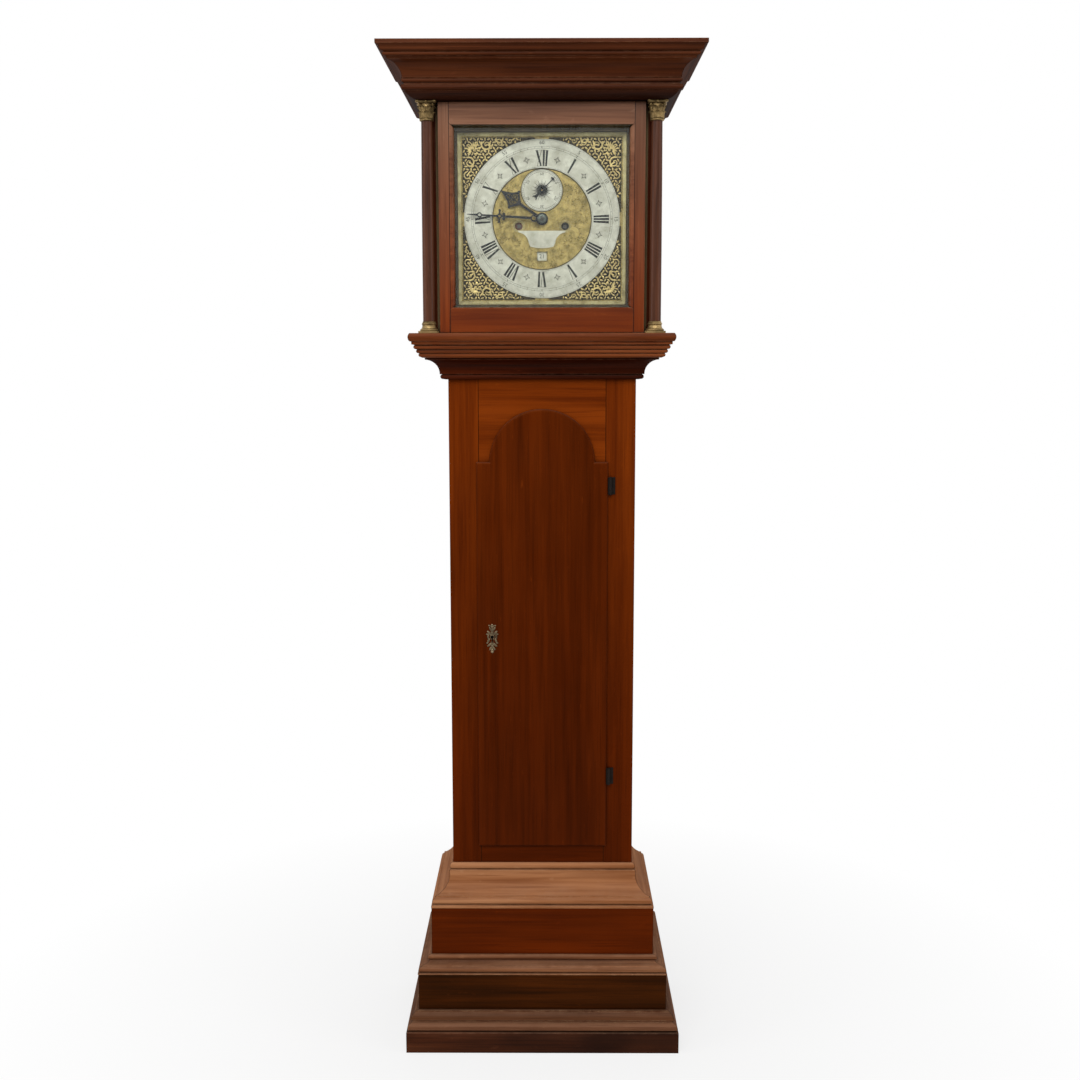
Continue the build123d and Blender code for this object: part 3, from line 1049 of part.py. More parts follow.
def hammer():
    """An arbor between the plates with a tail that the pins lift, and a head beside the bell's rim."""
    x, z = HAMMER[0], DIAL_Z + HAMMER[1]
    shaft = arbor(HAMMER, PLATE_FRONT, PLATE_BACK)
    to_pin = math.degrees(math.atan2(PIN[1] - HAMMER[1], PIN[0] - HAMMER[0]))
    reach = math.hypot(PIN[1] - HAMMER[1], PIN[0] - HAMMER[0]) - 17.3 - 0.7 - 0.4
    tail_y = depth(PIN_DEPTH) - 2.6
    tail = front_slab(Rot(0, 0, to_pin) * Pos(reach / 2, 0) * Rectangle(reach, 2.4), x, z, tail_y, tail_y + 1.6)
    tail += rod_y(x, z, tail_y, tail_y + 1.6, 3)
    tail -= rod_y(x, z, tail_y - 1, tail_y + 3, ARBOR_R)
    arm_y = BELL_Y
    head_z = DIAL_Z + BELL_Z + 4
    arm = block(x - 1.2, x + 1.2, arm_y - 2, arm_y + 2, z + ARBOR_R, head_z)
    collar = rod_y(x, z, arm_y - 3, arm_y + 3, 3.4) - rod_y(x, z, arm_y - 4, arm_y + 4, ARBOR_R)
    head_r, head_long = 5, 14
    head = Pos(x - 2, arm_y, head_z) * Rot(0, 90, 0) * Cylinder(
        head_r, head_long, align=(Align.CENTER, Align.CENTER, Align.MIN)
    )
    return [shaft, tail, arm + collar + head]


def make_pendulum():
    """Steel rod on a flat spring, lens-shaped brass bob, and the rating nut under it."""
    x, y, axis_z = 0, PENDULUM_Y, DIAL_Z + PALLET[1]
    bob_z = axis_z - PENDULUM_LONG
    spring_long = 24
    spring = block(-0.2, 0.2, y - 4, y + 4, axis_z - spring_long, axis_z + SPRING_TOP)
    chops = block(-3, 3, y - 5, y + 5, axis_z - spring_long - 8, axis_z - spring_long)
    rod = rod_z(x, y, bob_z - BOB_R - 22, axis_z - spring_long - 8, ROD_R)
    nut = rod_z(x, y, bob_z - BOB_R - 9, bob_z - BOB_R - 0.3, 9) - rod_z(x, y, bob_z - BOB_R - 10, bob_z - BOB_R, ROD_R)
    half = BOB_THICK / 2
    rim = BOB_RIM / 2
    crown = math.tan(math.atan2(half - rim, BOB_R) / 2) / 2
    lens = turned([(0, half), (BOB_R, rim, crown), (BOB_R, -rim), (0, -half, crown)], 0, 0, 0)
    bob = Pos(0, y, bob_z) * Rot(90, 0, 0) * lens
    bob -= rod_z(x, y, bob_z - BOB_R - 1, bob_z + BOB_R + 1, ROD_R + RUNNING_FIT)
    return {"pendulum_rod": [spring, chops, rod, nut], "pendulum_bob": [bob]}


def make_weights():
    """A lead weight hung on a pulley in an iron stirrup, and the gut line that carries it, for each train."""
    pieces = {}
    for name, place in (("going", GOING), ("strike", STRIKING)):
        fall_x = place[0] - BARREL_LINE_R
        x, y = fall_x + PULLEY_LINE_R, LINE_Y
        top = WEIGHT_REST + WEIGHT_LONG
        pulley_z = top + STIRRUP_RISE
        weight = fillet(rod_z(x, y, WEIGHT_REST, top, WEIGHT_R).edges(), 4)
        weight += rod_z(x, y, top - 1, top + 12, 3)
        pulley = rod_y(x, pulley_z, y - PULLEY_THICK / 2, y + PULLEY_THICK / 2, PULLEY_R)
        groove = rod_y(x, pulley_z, y - LINE_R - 0.8, y + LINE_R + 0.8, PULLEY_R + 1)
        groove -= rod_y(x, pulley_z, y - PULLEY_THICK, y + PULLEY_THICK, PULLEY_LINE_R - LINE_R - LINE_GAP)
        pulley -= groove + rod_y(x, pulley_z, y - PULLEY_THICK, y + PULLEY_THICK, 3 + RUNNING_FIT)
        cheek = PULLEY_THICK / 2 + 0.5
        stirrup = rod_y(x, pulley_z, y - cheek - 2, y + cheek + 2, 3)
        foot_z = top + 12
        for side in (-1, 1):
            stirrup += block(x - 6, x + 6, y + side * cheek, y + side * (cheek + 2), foot_z, pulley_z + 8)
        stirrup += block(x - 6, x + 6, y - cheek - 2, y + cheek + 2, foot_z, foot_z + 4)
        pieces[name + "_weight"] = [weight, stirrup]
        pieces[name + "_pulley"] = [pulley]
        pieces[name + "_line"] = [line(fall_x, x, y, pulley_z)]
    return pieces


def line(fall_x, x, y, pulley_z):
    """Gut from the barrel, down round the pulley and up to its knot above the seatboard."""
    far_x = fall_x + 2 * PULLEY_LINE_R
    down = rod_z(fall_x, y, pulley_z, WINDING_Z, LINE_R)
    up = rod_z(far_x, y, pulley_z, SEAT_TOP + 4, LINE_R)
    loop = Pos(x, y, pulley_z) * Rot(90, 0, 0) * Torus(PULLEY_LINE_R, LINE_R)
    loop &= block(fall_x - 2, far_x + 2, y - 2, y + 2, pulley_z - PULLEY_LINE_R - 2, pulley_z)
    knot = Pos(far_x, y, SEAT_TOP + 2.7) * Sphere(2.6)
    return down + loop + up + knot


def build():
    pieces = {}
    going, stud = make_going_train()
    makers = (make_case, make_hood, make_hood_door, make_trunk_hinges, make_trunk_door, make_dial, make_hands,
              make_barrels, make_strike_train, make_pendulum, make_weights)
    for maker in makers:
        pieces.update(maker())
    pieces.update(going)
    pieces.update(make_frame(stud))
    return pieces


def save(pieces):
    os.makedirs("parts", exist_ok=True)
    for name, found in pieces.items():
        solids = [solid for piece in found for solid in piece.solids()]
        export_step(Compound(children=solids), f"parts/{name}.step")


save(build())
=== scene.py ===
import math

import bmesh
import bpy
from mathutils import Euler, Matrix, Vector


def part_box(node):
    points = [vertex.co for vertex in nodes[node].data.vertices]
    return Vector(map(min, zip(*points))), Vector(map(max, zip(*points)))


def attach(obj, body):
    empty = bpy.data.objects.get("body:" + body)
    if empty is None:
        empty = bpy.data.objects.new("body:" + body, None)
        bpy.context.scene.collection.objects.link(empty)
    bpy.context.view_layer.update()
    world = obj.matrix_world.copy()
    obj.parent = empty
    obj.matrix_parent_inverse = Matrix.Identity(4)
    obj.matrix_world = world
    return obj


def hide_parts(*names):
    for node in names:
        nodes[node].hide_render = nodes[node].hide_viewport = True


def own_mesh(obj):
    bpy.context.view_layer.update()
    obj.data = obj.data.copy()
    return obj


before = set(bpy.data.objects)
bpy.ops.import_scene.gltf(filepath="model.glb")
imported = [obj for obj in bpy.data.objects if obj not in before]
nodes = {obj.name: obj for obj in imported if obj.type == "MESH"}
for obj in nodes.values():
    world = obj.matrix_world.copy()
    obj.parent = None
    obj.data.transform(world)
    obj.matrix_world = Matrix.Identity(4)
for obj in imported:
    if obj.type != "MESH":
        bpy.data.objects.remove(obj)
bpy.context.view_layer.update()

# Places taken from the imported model, in metres
MM = 0.001
dial_low, dial_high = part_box("dial_plate")
DIAL_MIDDLE = Vector(((dial_low.x + dial_high.x) / 2, 0, (dial_low.z + dial_high.z) / 2))
DIAL_HALF = (dial_high.x - dial_low.x) / 2
DIAL_FACE = dial_low.y
CHAPTER_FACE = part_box("chapter_ring")[0].y
CHAPTER_R = (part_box("chapter_ring")[1].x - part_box("chapter_ring")[0].x) / 2
SMALL_PLATE_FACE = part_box("dial_silvered_plates")[0].y
DATE_RING_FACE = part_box("date_ring")[0].y
FRONT_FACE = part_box("trunk_front_frame")[0].y
TRUNK_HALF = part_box("trunk_front_frame")[1].x

# Dial layout in metres: each R is a radius, and each rise is above the middle of the dial
NUMERAL_FOOT_R, NUMERAL_HEAD_R = 0.0935, 0.1215
HALF_HOUR_R = 0.107
QUARTER_TRACK_IN_R, QUARTER_TRACK_OUT_R = 0.0905, 0.0919
MINUTE_TRACK_IN_R, MINUTE_TRACK_OUT_R = 0.1245, 0.128
MINUTE_NUMBER_R, MINUTE_NUMBER_TALL = 0.1342, 0.0068
RIM_CIRCLE_R = 0.1394
SCROLLS_END_R = 0.0895
CENTRE_SHADOW_IN_R, CENTRE_SHADOW_OUT_R = 0.0886, 0.0902
SECONDS_RISE = 0.0509
SECONDS_TRACK_IN_R, SECONDS_TRACK_OUT_R = 0.0326, 0.0357
SECONDS_NUMBER_R, SECONDS_NUMBER_TALL = 0.0285, 0.0052
SECONDS_SHADOW_IN_R, SECONDS_SHADOW_OUT_R = 0.037, 0.0384
DATE_R, DATE_TALL, DATES = 0.066, 0.0075, 31
DATE_AT_OPENING = 21
WINDING_HOLE_OUT, WINDING_HOLE_RISE = 0.042, -0.0125
ENGRAVED = 0.00006

# From the dial's edge to the cast corners, in millimetres
CORNER_INSET = 8.8

# The weights' rise and the middle of their pulleys at rest, in metres
WEIGHT_RISE, PULLEY_Z = 1.055, 0.298
LINE_R, PULLEY_R = 0.75 * MM, 22 * MM

# A distance in metres that no board reaches
FAR = 9.0


def srgb(red, green, blue):
    """A colour as the eye reads it, 0 to 255, as the linear one that a shader takes."""
    def linear(c):
        c /= 255
        return c / 12.92 if c <= 0.04045 else ((c + 0.055) / 1.055) ** 2.4
    return (linear(red), linear(green), linear(blue), 1)


# Shader building

def fill(tree, node, inputs):
    """Fills a node's inputs with values or with other nodes' outputs."""
    for name, value in inputs.items():
        if isinstance(value, bpy.types.NodeSocket):
            tree.links.new(value, node.inputs[name])
        else:
            node.inputs[name].default_value = value
    return node


def place(tree, kind, inputs=None, **settings):
    """Adds a node, sets it up and fills its inputs."""
    node = tree.nodes.new(kind)
    for name, value in settings.items():
        setattr(node, name, value)
    return fill(tree, node, inputs or {})


def maths(tree, operation, a, b=0.0, clamp=False):
    node = place(tree, "ShaderNodeMath", {0: a, 1: b}, operation=operation, use_clamp=clamp)
    return node.outputs[0]


def blend_colours(tree, factor, a, b):
    return place(tree, "ShaderNodeMix", {0: factor, 6: a, 7: b}, data_type="RGBA").outputs[2]


def blend_vectors(tree, factor, a, b):
    return place(tree, "ShaderNodeMix", {0: factor, 4: a, 5: b}, data_type="VECTOR").outputs[1]


def stretch(tree, value, low, high, out_low=0.0, out_high=1.0):
    node = place(tree, "ShaderNodeMapRange", {0: value, 1: low, 2: high, 3: out_low, 4: out_high})
    return node.outputs[0]


def clouds(tree, vector, scale, detail=3.0, rough=0.5, distortion=0.0):
    node = place(tree, "ShaderNodeTexNoise", {
        "Vector": vector, "Scale": scale, "Detail": detail, "Roughness": rough, "Distortion": distortion,
    })
    return node.outputs["Fac"]


def scaled(tree, vector, by):
    return place(tree, "ShaderNodeVectorMath", {0: vector, 1: by}, operation="MULTIPLY").outputs[0]


def shader_group(name, inputs, outputs):
    """An empty shader group with named sockets; returns it with its inner input and output sockets."""
    group = bpy.data.node_groups.new(name, "ShaderNodeTree")
    kinds = {"value": "NodeSocketFloat", "colour": "NodeSocketColor", "vector": "NodeSocketVector"}
    for label, kind, default in inputs:
        socket = group.interface.new_socket(label, in_out="INPUT", socket_type=kinds[kind])
        if default is not None:
            socket.default_value = default
    for label, kind in outputs:
        group.interface.new_socket(label, in_out="OUTPUT", socket_type=kinds[kind])
    entry = group.nodes.new("NodeGroupInput").outputs
    end = group.nodes.new("NodeGroupOutput").inputs
    return group, entry, end

def fill_group(tree, group, inputs):
    return place(tree, "ShaderNodeGroup", inputs, node_tree=group)


def make_grain_axes():
    """Turns object coordinates so that the grain of each board runs along Z.

    Past the mitre the returns run from front to back; past the stile line a board stands upright."""
    group, entry, end = shader_group(
        "grain_axes",
        [("Vector", "vector", None), ("Mitre", "value", FAR), ("Stile", "value", FAR)],
        [("Vector", "vector"), ("Joint", "value")],
    )
    parts = place(group, "ShaderNodeSeparateXYZ", {0: entry["Vector"]})
    x, y, z = parts.outputs[0], parts.outputs[1], parts.outputs[2]
    out = maths(group, "ABSOLUTE", x)
    over_mitre = maths(group, "SUBTRACT", maths(group, "ADD", out, y), entry["Mitre"])
    over_stile = maths(group, "SUBTRACT", out, entry["Stile"])
    along_x = place(group, "ShaderNodeCombineXYZ", {0: y, 1: z, 2: x}).outputs[0]
    along_y = place(group, "ShaderNodeCombineXYZ", {0: z, 1: x, 2: y}).outputs[0]
    lying = blend_vectors(group, maths(group, "GREATER_THAN", over_mitre), along_x, along_y)
    turned = blend_vectors(group, maths(group, "GREATER_THAN", over_stile), lying, entry["Vector"])
    group.links.new(turned, end["Vector"])
    no_stile = maths(group, "LESS_THAN", entry["Stile"], 10 * MM)
    to_stile = maths(group, "ADD", maths(group, "ABSOLUTE", over_stile), no_stile)
    near = maths(group, "MINIMUM", maths(group, "ABSOLUTE", over_mitre), to_stile)
    group.links.new(stretch(group, near, 0.2 * MM, 0.9 * MM, 1.0, 0.0), end["Joint"])
    return group


def make_oak_figure():
    """Stained oak: growth bands, dark pores along the grain, pale ray flecks and a slow drift of tone."""
    group, entry, end = shader_group(
        "oak_figure",
        [
            ("Vector", "vector", None), ("Pale", "colour", None), ("Body", "colour", None),
            ("Dark", "colour", None), ("Figure", "value", 1.0), ("Blotch", "value", 0.5),
        ],
        [("Color", "colour"), ("Pores", "value"), ("Height", "value")],
    )
    vector = entry["Vector"]
    bands = clouds(group, scaled(group, vector, (1, 1, 0.03)), 130, 4, 0.6, 0.2)
    wide = clouds(group, scaled(group, vector, (1, 1, 0.06)), 20, 3, 0.5, 0.3)
    lines = clouds(group, scaled(group, vector, (1, 1, 0.02)), 420, 2, 0.5)
    rays = clouds(group, scaled(group, vector, (1, 0.35, 0.22)), 170, 2, 0.6, 0.3)
    drift = clouds(group, scaled(group, vector, (1, 1, 0.45)), 5, 3, 0.6)
    fine, broad = maths(group, "MULTIPLY", bands, 0.6), maths(group, "MULTIPLY", wide, 0.4)
    mixed = maths(group, "ADD", fine, broad)
    tone = blend_colours(group, stretch(group, mixed, 0.32, 0.58), entry["Dark"], entry["Body"])
    lift = maths(group, "MULTIPLY", stretch(group, wide, 0.5, 0.72), 0.5)
    tone = blend_colours(group, lift, tone, entry["Pale"])
    strong = maths(group, "MULTIPLY", entry["Figure"], 0.35)
    fleck = maths(group, "MULTIPLY", stretch(group, rays, 0.66, 0.78), strong)
    tone = blend_colours(group, fleck, tone, entry["Pale"])
    pores = stretch(group, lines, 0.42, 0.3)
    deep = maths(group, "MULTIPLY", pores, 0.55)
    tone = blend_colours(group, deep, tone, entry["Dark"])
    blot = maths(group, "MULTIPLY", stretch(group, drift, 0.55, 0.34), entry["Blotch"])
    tone = blend_colours(group, blot, tone, entry["Dark"])
    group.links.new(tone, end["Color"])
    group.links.new(pores, end["Pores"])
    height = maths(group, "SUBTRACT", maths(group, "MULTIPLY", bands, 0.35), pores)
    group.links.new(height, end["Height"])
    return group


def make_edge_wear():
    """A mask that is strongest on outer edges, broken up as hands and cloths wear them."""
    group, entry, end = shader_group(
        "edge_wear",
        [("Vector", "vector", None), ("Reach", "value", 0.0015), ("Amount", "value", 1.0)],
        [("Mask", "value"), ("Normal", "vector")],
    )
    rounded = place(group, "ShaderNodeBevel", {"Radius": entry["Reach"]}, samples=4).outputs[0]
    face = place(group, "ShaderNodeNewGeometry").outputs["True Normal"]
    turn = place(group, "ShaderNodeVectorMath", {0: rounded, 1: face}, operation="DOT_PRODUCT")
    edge = stretch(group, turn.outputs["Value"], 0.985, 0.8)
    broken = stretch(group, clouds(group, entry["Vector"], 60, 4, 0.6), 0.35, 0.6)
    mask = maths(group, "MULTIPLY", maths(group, "MULTIPLY", edge, broken), entry["Amount"], True)
    group.links.new(mask, end["Mask"])
    group.links.new(rounded, end["Normal"])
    return group


def make_corner_grime():
    """A mask of inner corners from ambient occlusion: the old wax and dirt that stays there, and painted
    shade where corners and gaps lie in shadow.
    """
    group, entry, end = shader_group(
        "corner_dirt_and_shade", [("Vector", "vector", None), ("Reach", "value", 0.012)], [("Mask", "value")]
    )
    around = place(group, "ShaderNodeAmbientOcclusion", {"Distance": entry["Reach"]}, samples=4)
    closed = stretch(group, around.outputs["AO"], 0.75, 0.25)
    broken = stretch(group, clouds(group, entry["Vector"], 35, 3), 0.3, 0.7, 0.55, 1.0)
    group.links.new(maths(group, "MULTIPLY", closed, broken), end["Mask"])
    return group


def make_settled_dust():
    """A thin pale film on what faces up."""
    group, entry, end = shader_group(
        "settled_dust", [("Vector", "vector", None), ("Amount", "value", 0.3)], [("Mask", "value")]
    )
    face = place(group, "ShaderNodeNewGeometry").outputs["True Normal"]
    up = stretch(group, place(group, "ShaderNodeSeparateXYZ", {0: face}).outputs[2], 0.35, 0.95)
    broken = stretch(group, clouds(group, entry["Vector"], 24, 4, 0.65), 0.3, 0.68, 0.35, 1.0)
    mask = maths(group, "MULTIPLY", maths(group, "MULTIPLY", up, broken), entry["Amount"])
    group.links.new(mask, end["Mask"])
    return group


def make_metal_age():
    """Bright metal, tarnish in clouds and in the corners, and fine scratches; on the cast corners the dark
    corner tone is painted shade.
    """
    group, entry, end = shader_group(
        "metal_age",
        [
            ("Vector", "vector", None), ("Bright", "colour", None), ("Tarnish", "colour", None),
            ("Spread", "value", 0.5), ("Corner", "value", 0.0), ("Smooth", "value", 0.3),
        ],
        [("Color", "colour"), ("Roughness", "value"), ("Height", "value")],
    )
    vector = entry["Vector"]
    cloud = stretch(group, clouds(group, vector, 45, 5, 0.65, 0.4), 0.38, 0.66)
    spread = maths(group, "MULTIPLY", cloud, entry["Spread"])
    mask = maths(group, "MAXIMUM", spread, entry["Corner"], True)
    group.links.new(blend_colours(group, mask, entry["Bright"], entry["Tarnish"]), end["Color"])
    fine = clouds(group, scaled(group, vector, (1, 1, 0.15)), 900, 2)
    rough = maths(group, "ADD", entry["Smooth"], maths(group, "MULTIPLY", mask, 0.3))
    group.links.new(maths(group, "ADD", rough, maths(group, "MULTIPLY", fine, 0.08)), end["Roughness"])
    group.links.new(fine, end["Height"])
    return group


grain_axes = make_grain_axes()
oak_figure = make_oak_figure()
edge_wear = make_edge_wear()
corner_dirt_and_shade = make_corner_grime()
settled_dust = make_settled_dust()
metal_age = make_metal_age()


def new_material(name, sockets):
    """A material with one plain shader; returns it with its tree, the shader and object coordinates."""
    material = bpy.data.materials.new(name)
    material.use_nodes = True
    tree = material.node_tree
    tree.nodes.clear()
    surface = place(tree, "ShaderNodeBsdfPrincipled", sockets)
    place(tree, "ShaderNodeOutputMaterial", {"Surface": surface.outputs[0]})
    return material, tree, surface, place(tree, "ShaderNodeTexCoord").outputs["Object"]


def show_mixed(tree, surface, share, other):
    """Shows another shader instead of the plain one, by a share from 0 to 1."""
    both = place(tree, "ShaderNodeMixShader", {0: share, 1: surface.outputs[0], 2: other.outputs[0]})
    end = next(node for node in tree.nodes if node.type == "OUTPUT_MATERIAL")
    tree.links.new(both.outputs[0], end.inputs["Surface"])


WARM_SHEEN = (1.0, 0.42, 0.14, 1)
CORNER_DIRT_AND_SHADE, DUST, BARE_OAK = srgb(20, 7, 2), srgb(176, 136, 108), srgb(214, 178, 142)


def oak(name, seed, tones, mitre=FAR, stile=FAR, worn=(176, 128, 96), wear=0.5, blotch=0.4, figure=1.0,
        dust=0.12, rough=0.42, gloss=0.0, film=0.1, lower=None, chip=None):
    """Stained and waxed oak in a pale, a body and a dark tone: gloss is its warm sheen and film its wax.

    Stile 0 stands all its boards upright, lower blends to other tones between two heights, and chip is
    the middle of a bare spot."""
    material, tree, surface, coords = new_material(name, {
        "Specular IOR Level": gloss, "Specular Tint": WARM_SHEEN,
        "Coat Weight": film, "Coat Roughness": rough,
    })
    axes = fill_group(tree, grain_axes, {"Vector": coords, "Mitre": mitre, "Stile": stile})
    moved_on = place(tree, "ShaderNodeMapping", {
        "Vector": axes.outputs["Vector"], "Location": (seed, seed * 0.7, seed * 1.3),
    })
    tones = [srgb(*tone) for tone in tones]
    if lower:
        foot, head, low_tones = lower
        height = place(tree, "ShaderNodeSeparateXYZ", {0: coords}).outputs[2]
        above = stretch(tree, height, foot, head)
        tones = [blend_colours(tree, above, srgb(*low), high) for low, high in zip(low_tones, tones)]
    figured = fill_group(tree, oak_figure, {
        "Vector": moved_on.outputs[0], "Pale": tones[0], "Body": tones[1], "Dark": tones[2],
        "Figure": figure, "Blotch": blotch,
    })
    edges = fill_group(tree, edge_wear, {"Vector": coords, "Amount": wear})
    dirt_and_shade = fill_group(tree, corner_dirt_and_shade, {"Vector": coords})
    dusty = fill_group(tree, settled_dust, {"Vector": coords, "Amount": dust})
    colour = blend_colours(tree, edges.outputs["Mask"], figured.outputs["Color"], srgb(*worn))
    colour = blend_colours(tree, dusty.outputs[0], colour, DUST)
    if chip:
        away = place(tree, "ShaderNodeVectorMath", {0: coords, 1: chip}, operation="DISTANCE")
        torn = maths(tree, "MULTIPLY", clouds(tree, coords, 260, 3), 0.009)
        ragged = maths(tree, "ADD", away.outputs["Value"], torn)
        colour = blend_colours(tree, stretch(tree, ragged, 0.0115, 0.0095), colour, BARE_OAK)
    # Dark joints, and old dirt with painted shade in the corners and gaps, all in one near-black tone
    shadow = maths(tree, "MAXIMUM", maths(tree, "MULTIPLY", dirt_and_shade.outputs[0], 0.8), axes.outputs["Joint"])
    colour = blend_colours(tree, shadow, colour, CORNER_DIRT_AND_SHADE)
    shine = stretch(tree, clouds(tree, coords, 14, 4, 0.6), 0.3, 0.7, rough - 0.07, rough + 0.12)
    shine = maths(tree, "ADD", shine, maths(tree, "MULTIPLY", figured.outputs["Pores"], 0.1))
    bump = place(tree, "ShaderNodeBump", {
        "Height": figured.outputs["Height"], "Strength": 0.25, "Distance": 0.3 * MM,
        "Normal": edges.outputs["Normal"],
    })
    fill(tree, surface, {"Base Color": colour, "Roughness": shine, "Normal": bump.outputs[0]})
    return material


def metal(name, bright, tarnish, spread=0.5, smooth=0.3, corners=0.7, metallic=1.0, bump=0.1, reach=0.004,
          scale=1.0, ground=None):
    """Aged metal; ground is the depth, along Y, past which a piece takes its tarnish tone: painted shade at
    the foot of the cast corners, and the brass wheels behind the steel arbors.
    """
    bright, tarnish = srgb(*bright), srgb(*tarnish)
    material, tree, surface, coords = new_material(name, {"Metallic": metallic})
    dirt_and_shade = fill_group(tree, corner_dirt_and_shade, {"Vector": coords, "Reach": reach})
    aged = fill_group(tree, metal_age, {
        "Vector": scaled(tree, coords, (scale, scale, scale)), "Bright": bright, "Tarnish": tarnish,
        "Spread": spread, "Corner": maths(tree, "MULTIPLY", dirt_and_shade.outputs[0], corners), "Smooth": smooth,
    })
    ridge = place(tree, "ShaderNodeBump", {
        "Height": aged.outputs["Height"], "Strength": bump, "Distance": 0.2 * MM,
    })
    tone = aged.outputs["Color"]
    if ground is not None:
        depth = place(tree, "ShaderNodeSeparateXYZ", {0: coords}).outputs[1]
        tone = blend_colours(tree, stretch(tree, depth, ground - 1.0 * MM, ground - 0.5 * MM), tone, tarnish)
    fill(tree, surface, {
        "Base Color": tone, "Roughness": aged.outputs["Roughness"], "Normal": ridge.outputs[0],
    })
    return material


def crown_glass():
    """Old glass, faintly green and uneven; light passes it without casting its shadow on the dial."""
    material, tree, surface, coords = new_material("crown_glass", {
        "Base Color": srgb(246, 252, 248), "Transmission Weight": 1.0, "Roughness": 0.02, "IOR": 1.45,
    })
    bump = place(tree, "ShaderNodeBump", {
        "Height": clouds(tree, coords, 9, 2), "Strength": 0.06, "Distance": 2 * MM,
    })
    fill(tree, surface, {"Normal": bump.outputs[0]})
    path = place(tree, "ShaderNodeLightPath").outputs
    lets_by = maths(tree, "MAXIMUM", path["Is Shadow Ray"], path["Is Diffuse Ray"])
    show_mixed(tree, surface, lets_by, place(tree, "ShaderNodeBsdfTransparent"))
    return material


def twisted_gut():
    material, tree, surface, coords = new_material("twisted_gut", {"Roughness": 0.5})
    twist = place(tree, "ShaderNodeTexWave", {"Vector": coords, "Scale": 300, "Distortion": 1.0},
                  wave_type="BANDS", bands_direction="DIAGONAL").outputs["Fac"]
    colour = blend_colours(tree, twist, srgb(150, 120, 74), srgb(196, 168, 118))
    bump = place(tree, "ShaderNodeBump", {"Height": twist, "Strength": 0.5, "Distance": 0.2 * MM})
    fill(tree, surface, {"Base Color": colour, "Normal": bump.outputs[0]})
    return material


def black_wax():
    material, tree, surface, coords = new_material("engraved_black_wax", {
        "Roughness": 0.6, "Specular IOR Level": 0.2,
    })
    worn = stretch(tree, clouds(tree, coords, 160, 3), 0.5, 0.8)
    fill(tree, surface, {"Base Color": blend_colours(tree, worn, srgb(26, 25, 26), srgb(92, 90, 84))})
    return material


def finish_node(name, material):
    slots = nodes[name].data.materials
    slots.clear()
    slots.append(material)


MITRE = TRUNK_HALF + FRONT_FACE
WORN_PALE = (206, 158, 120)

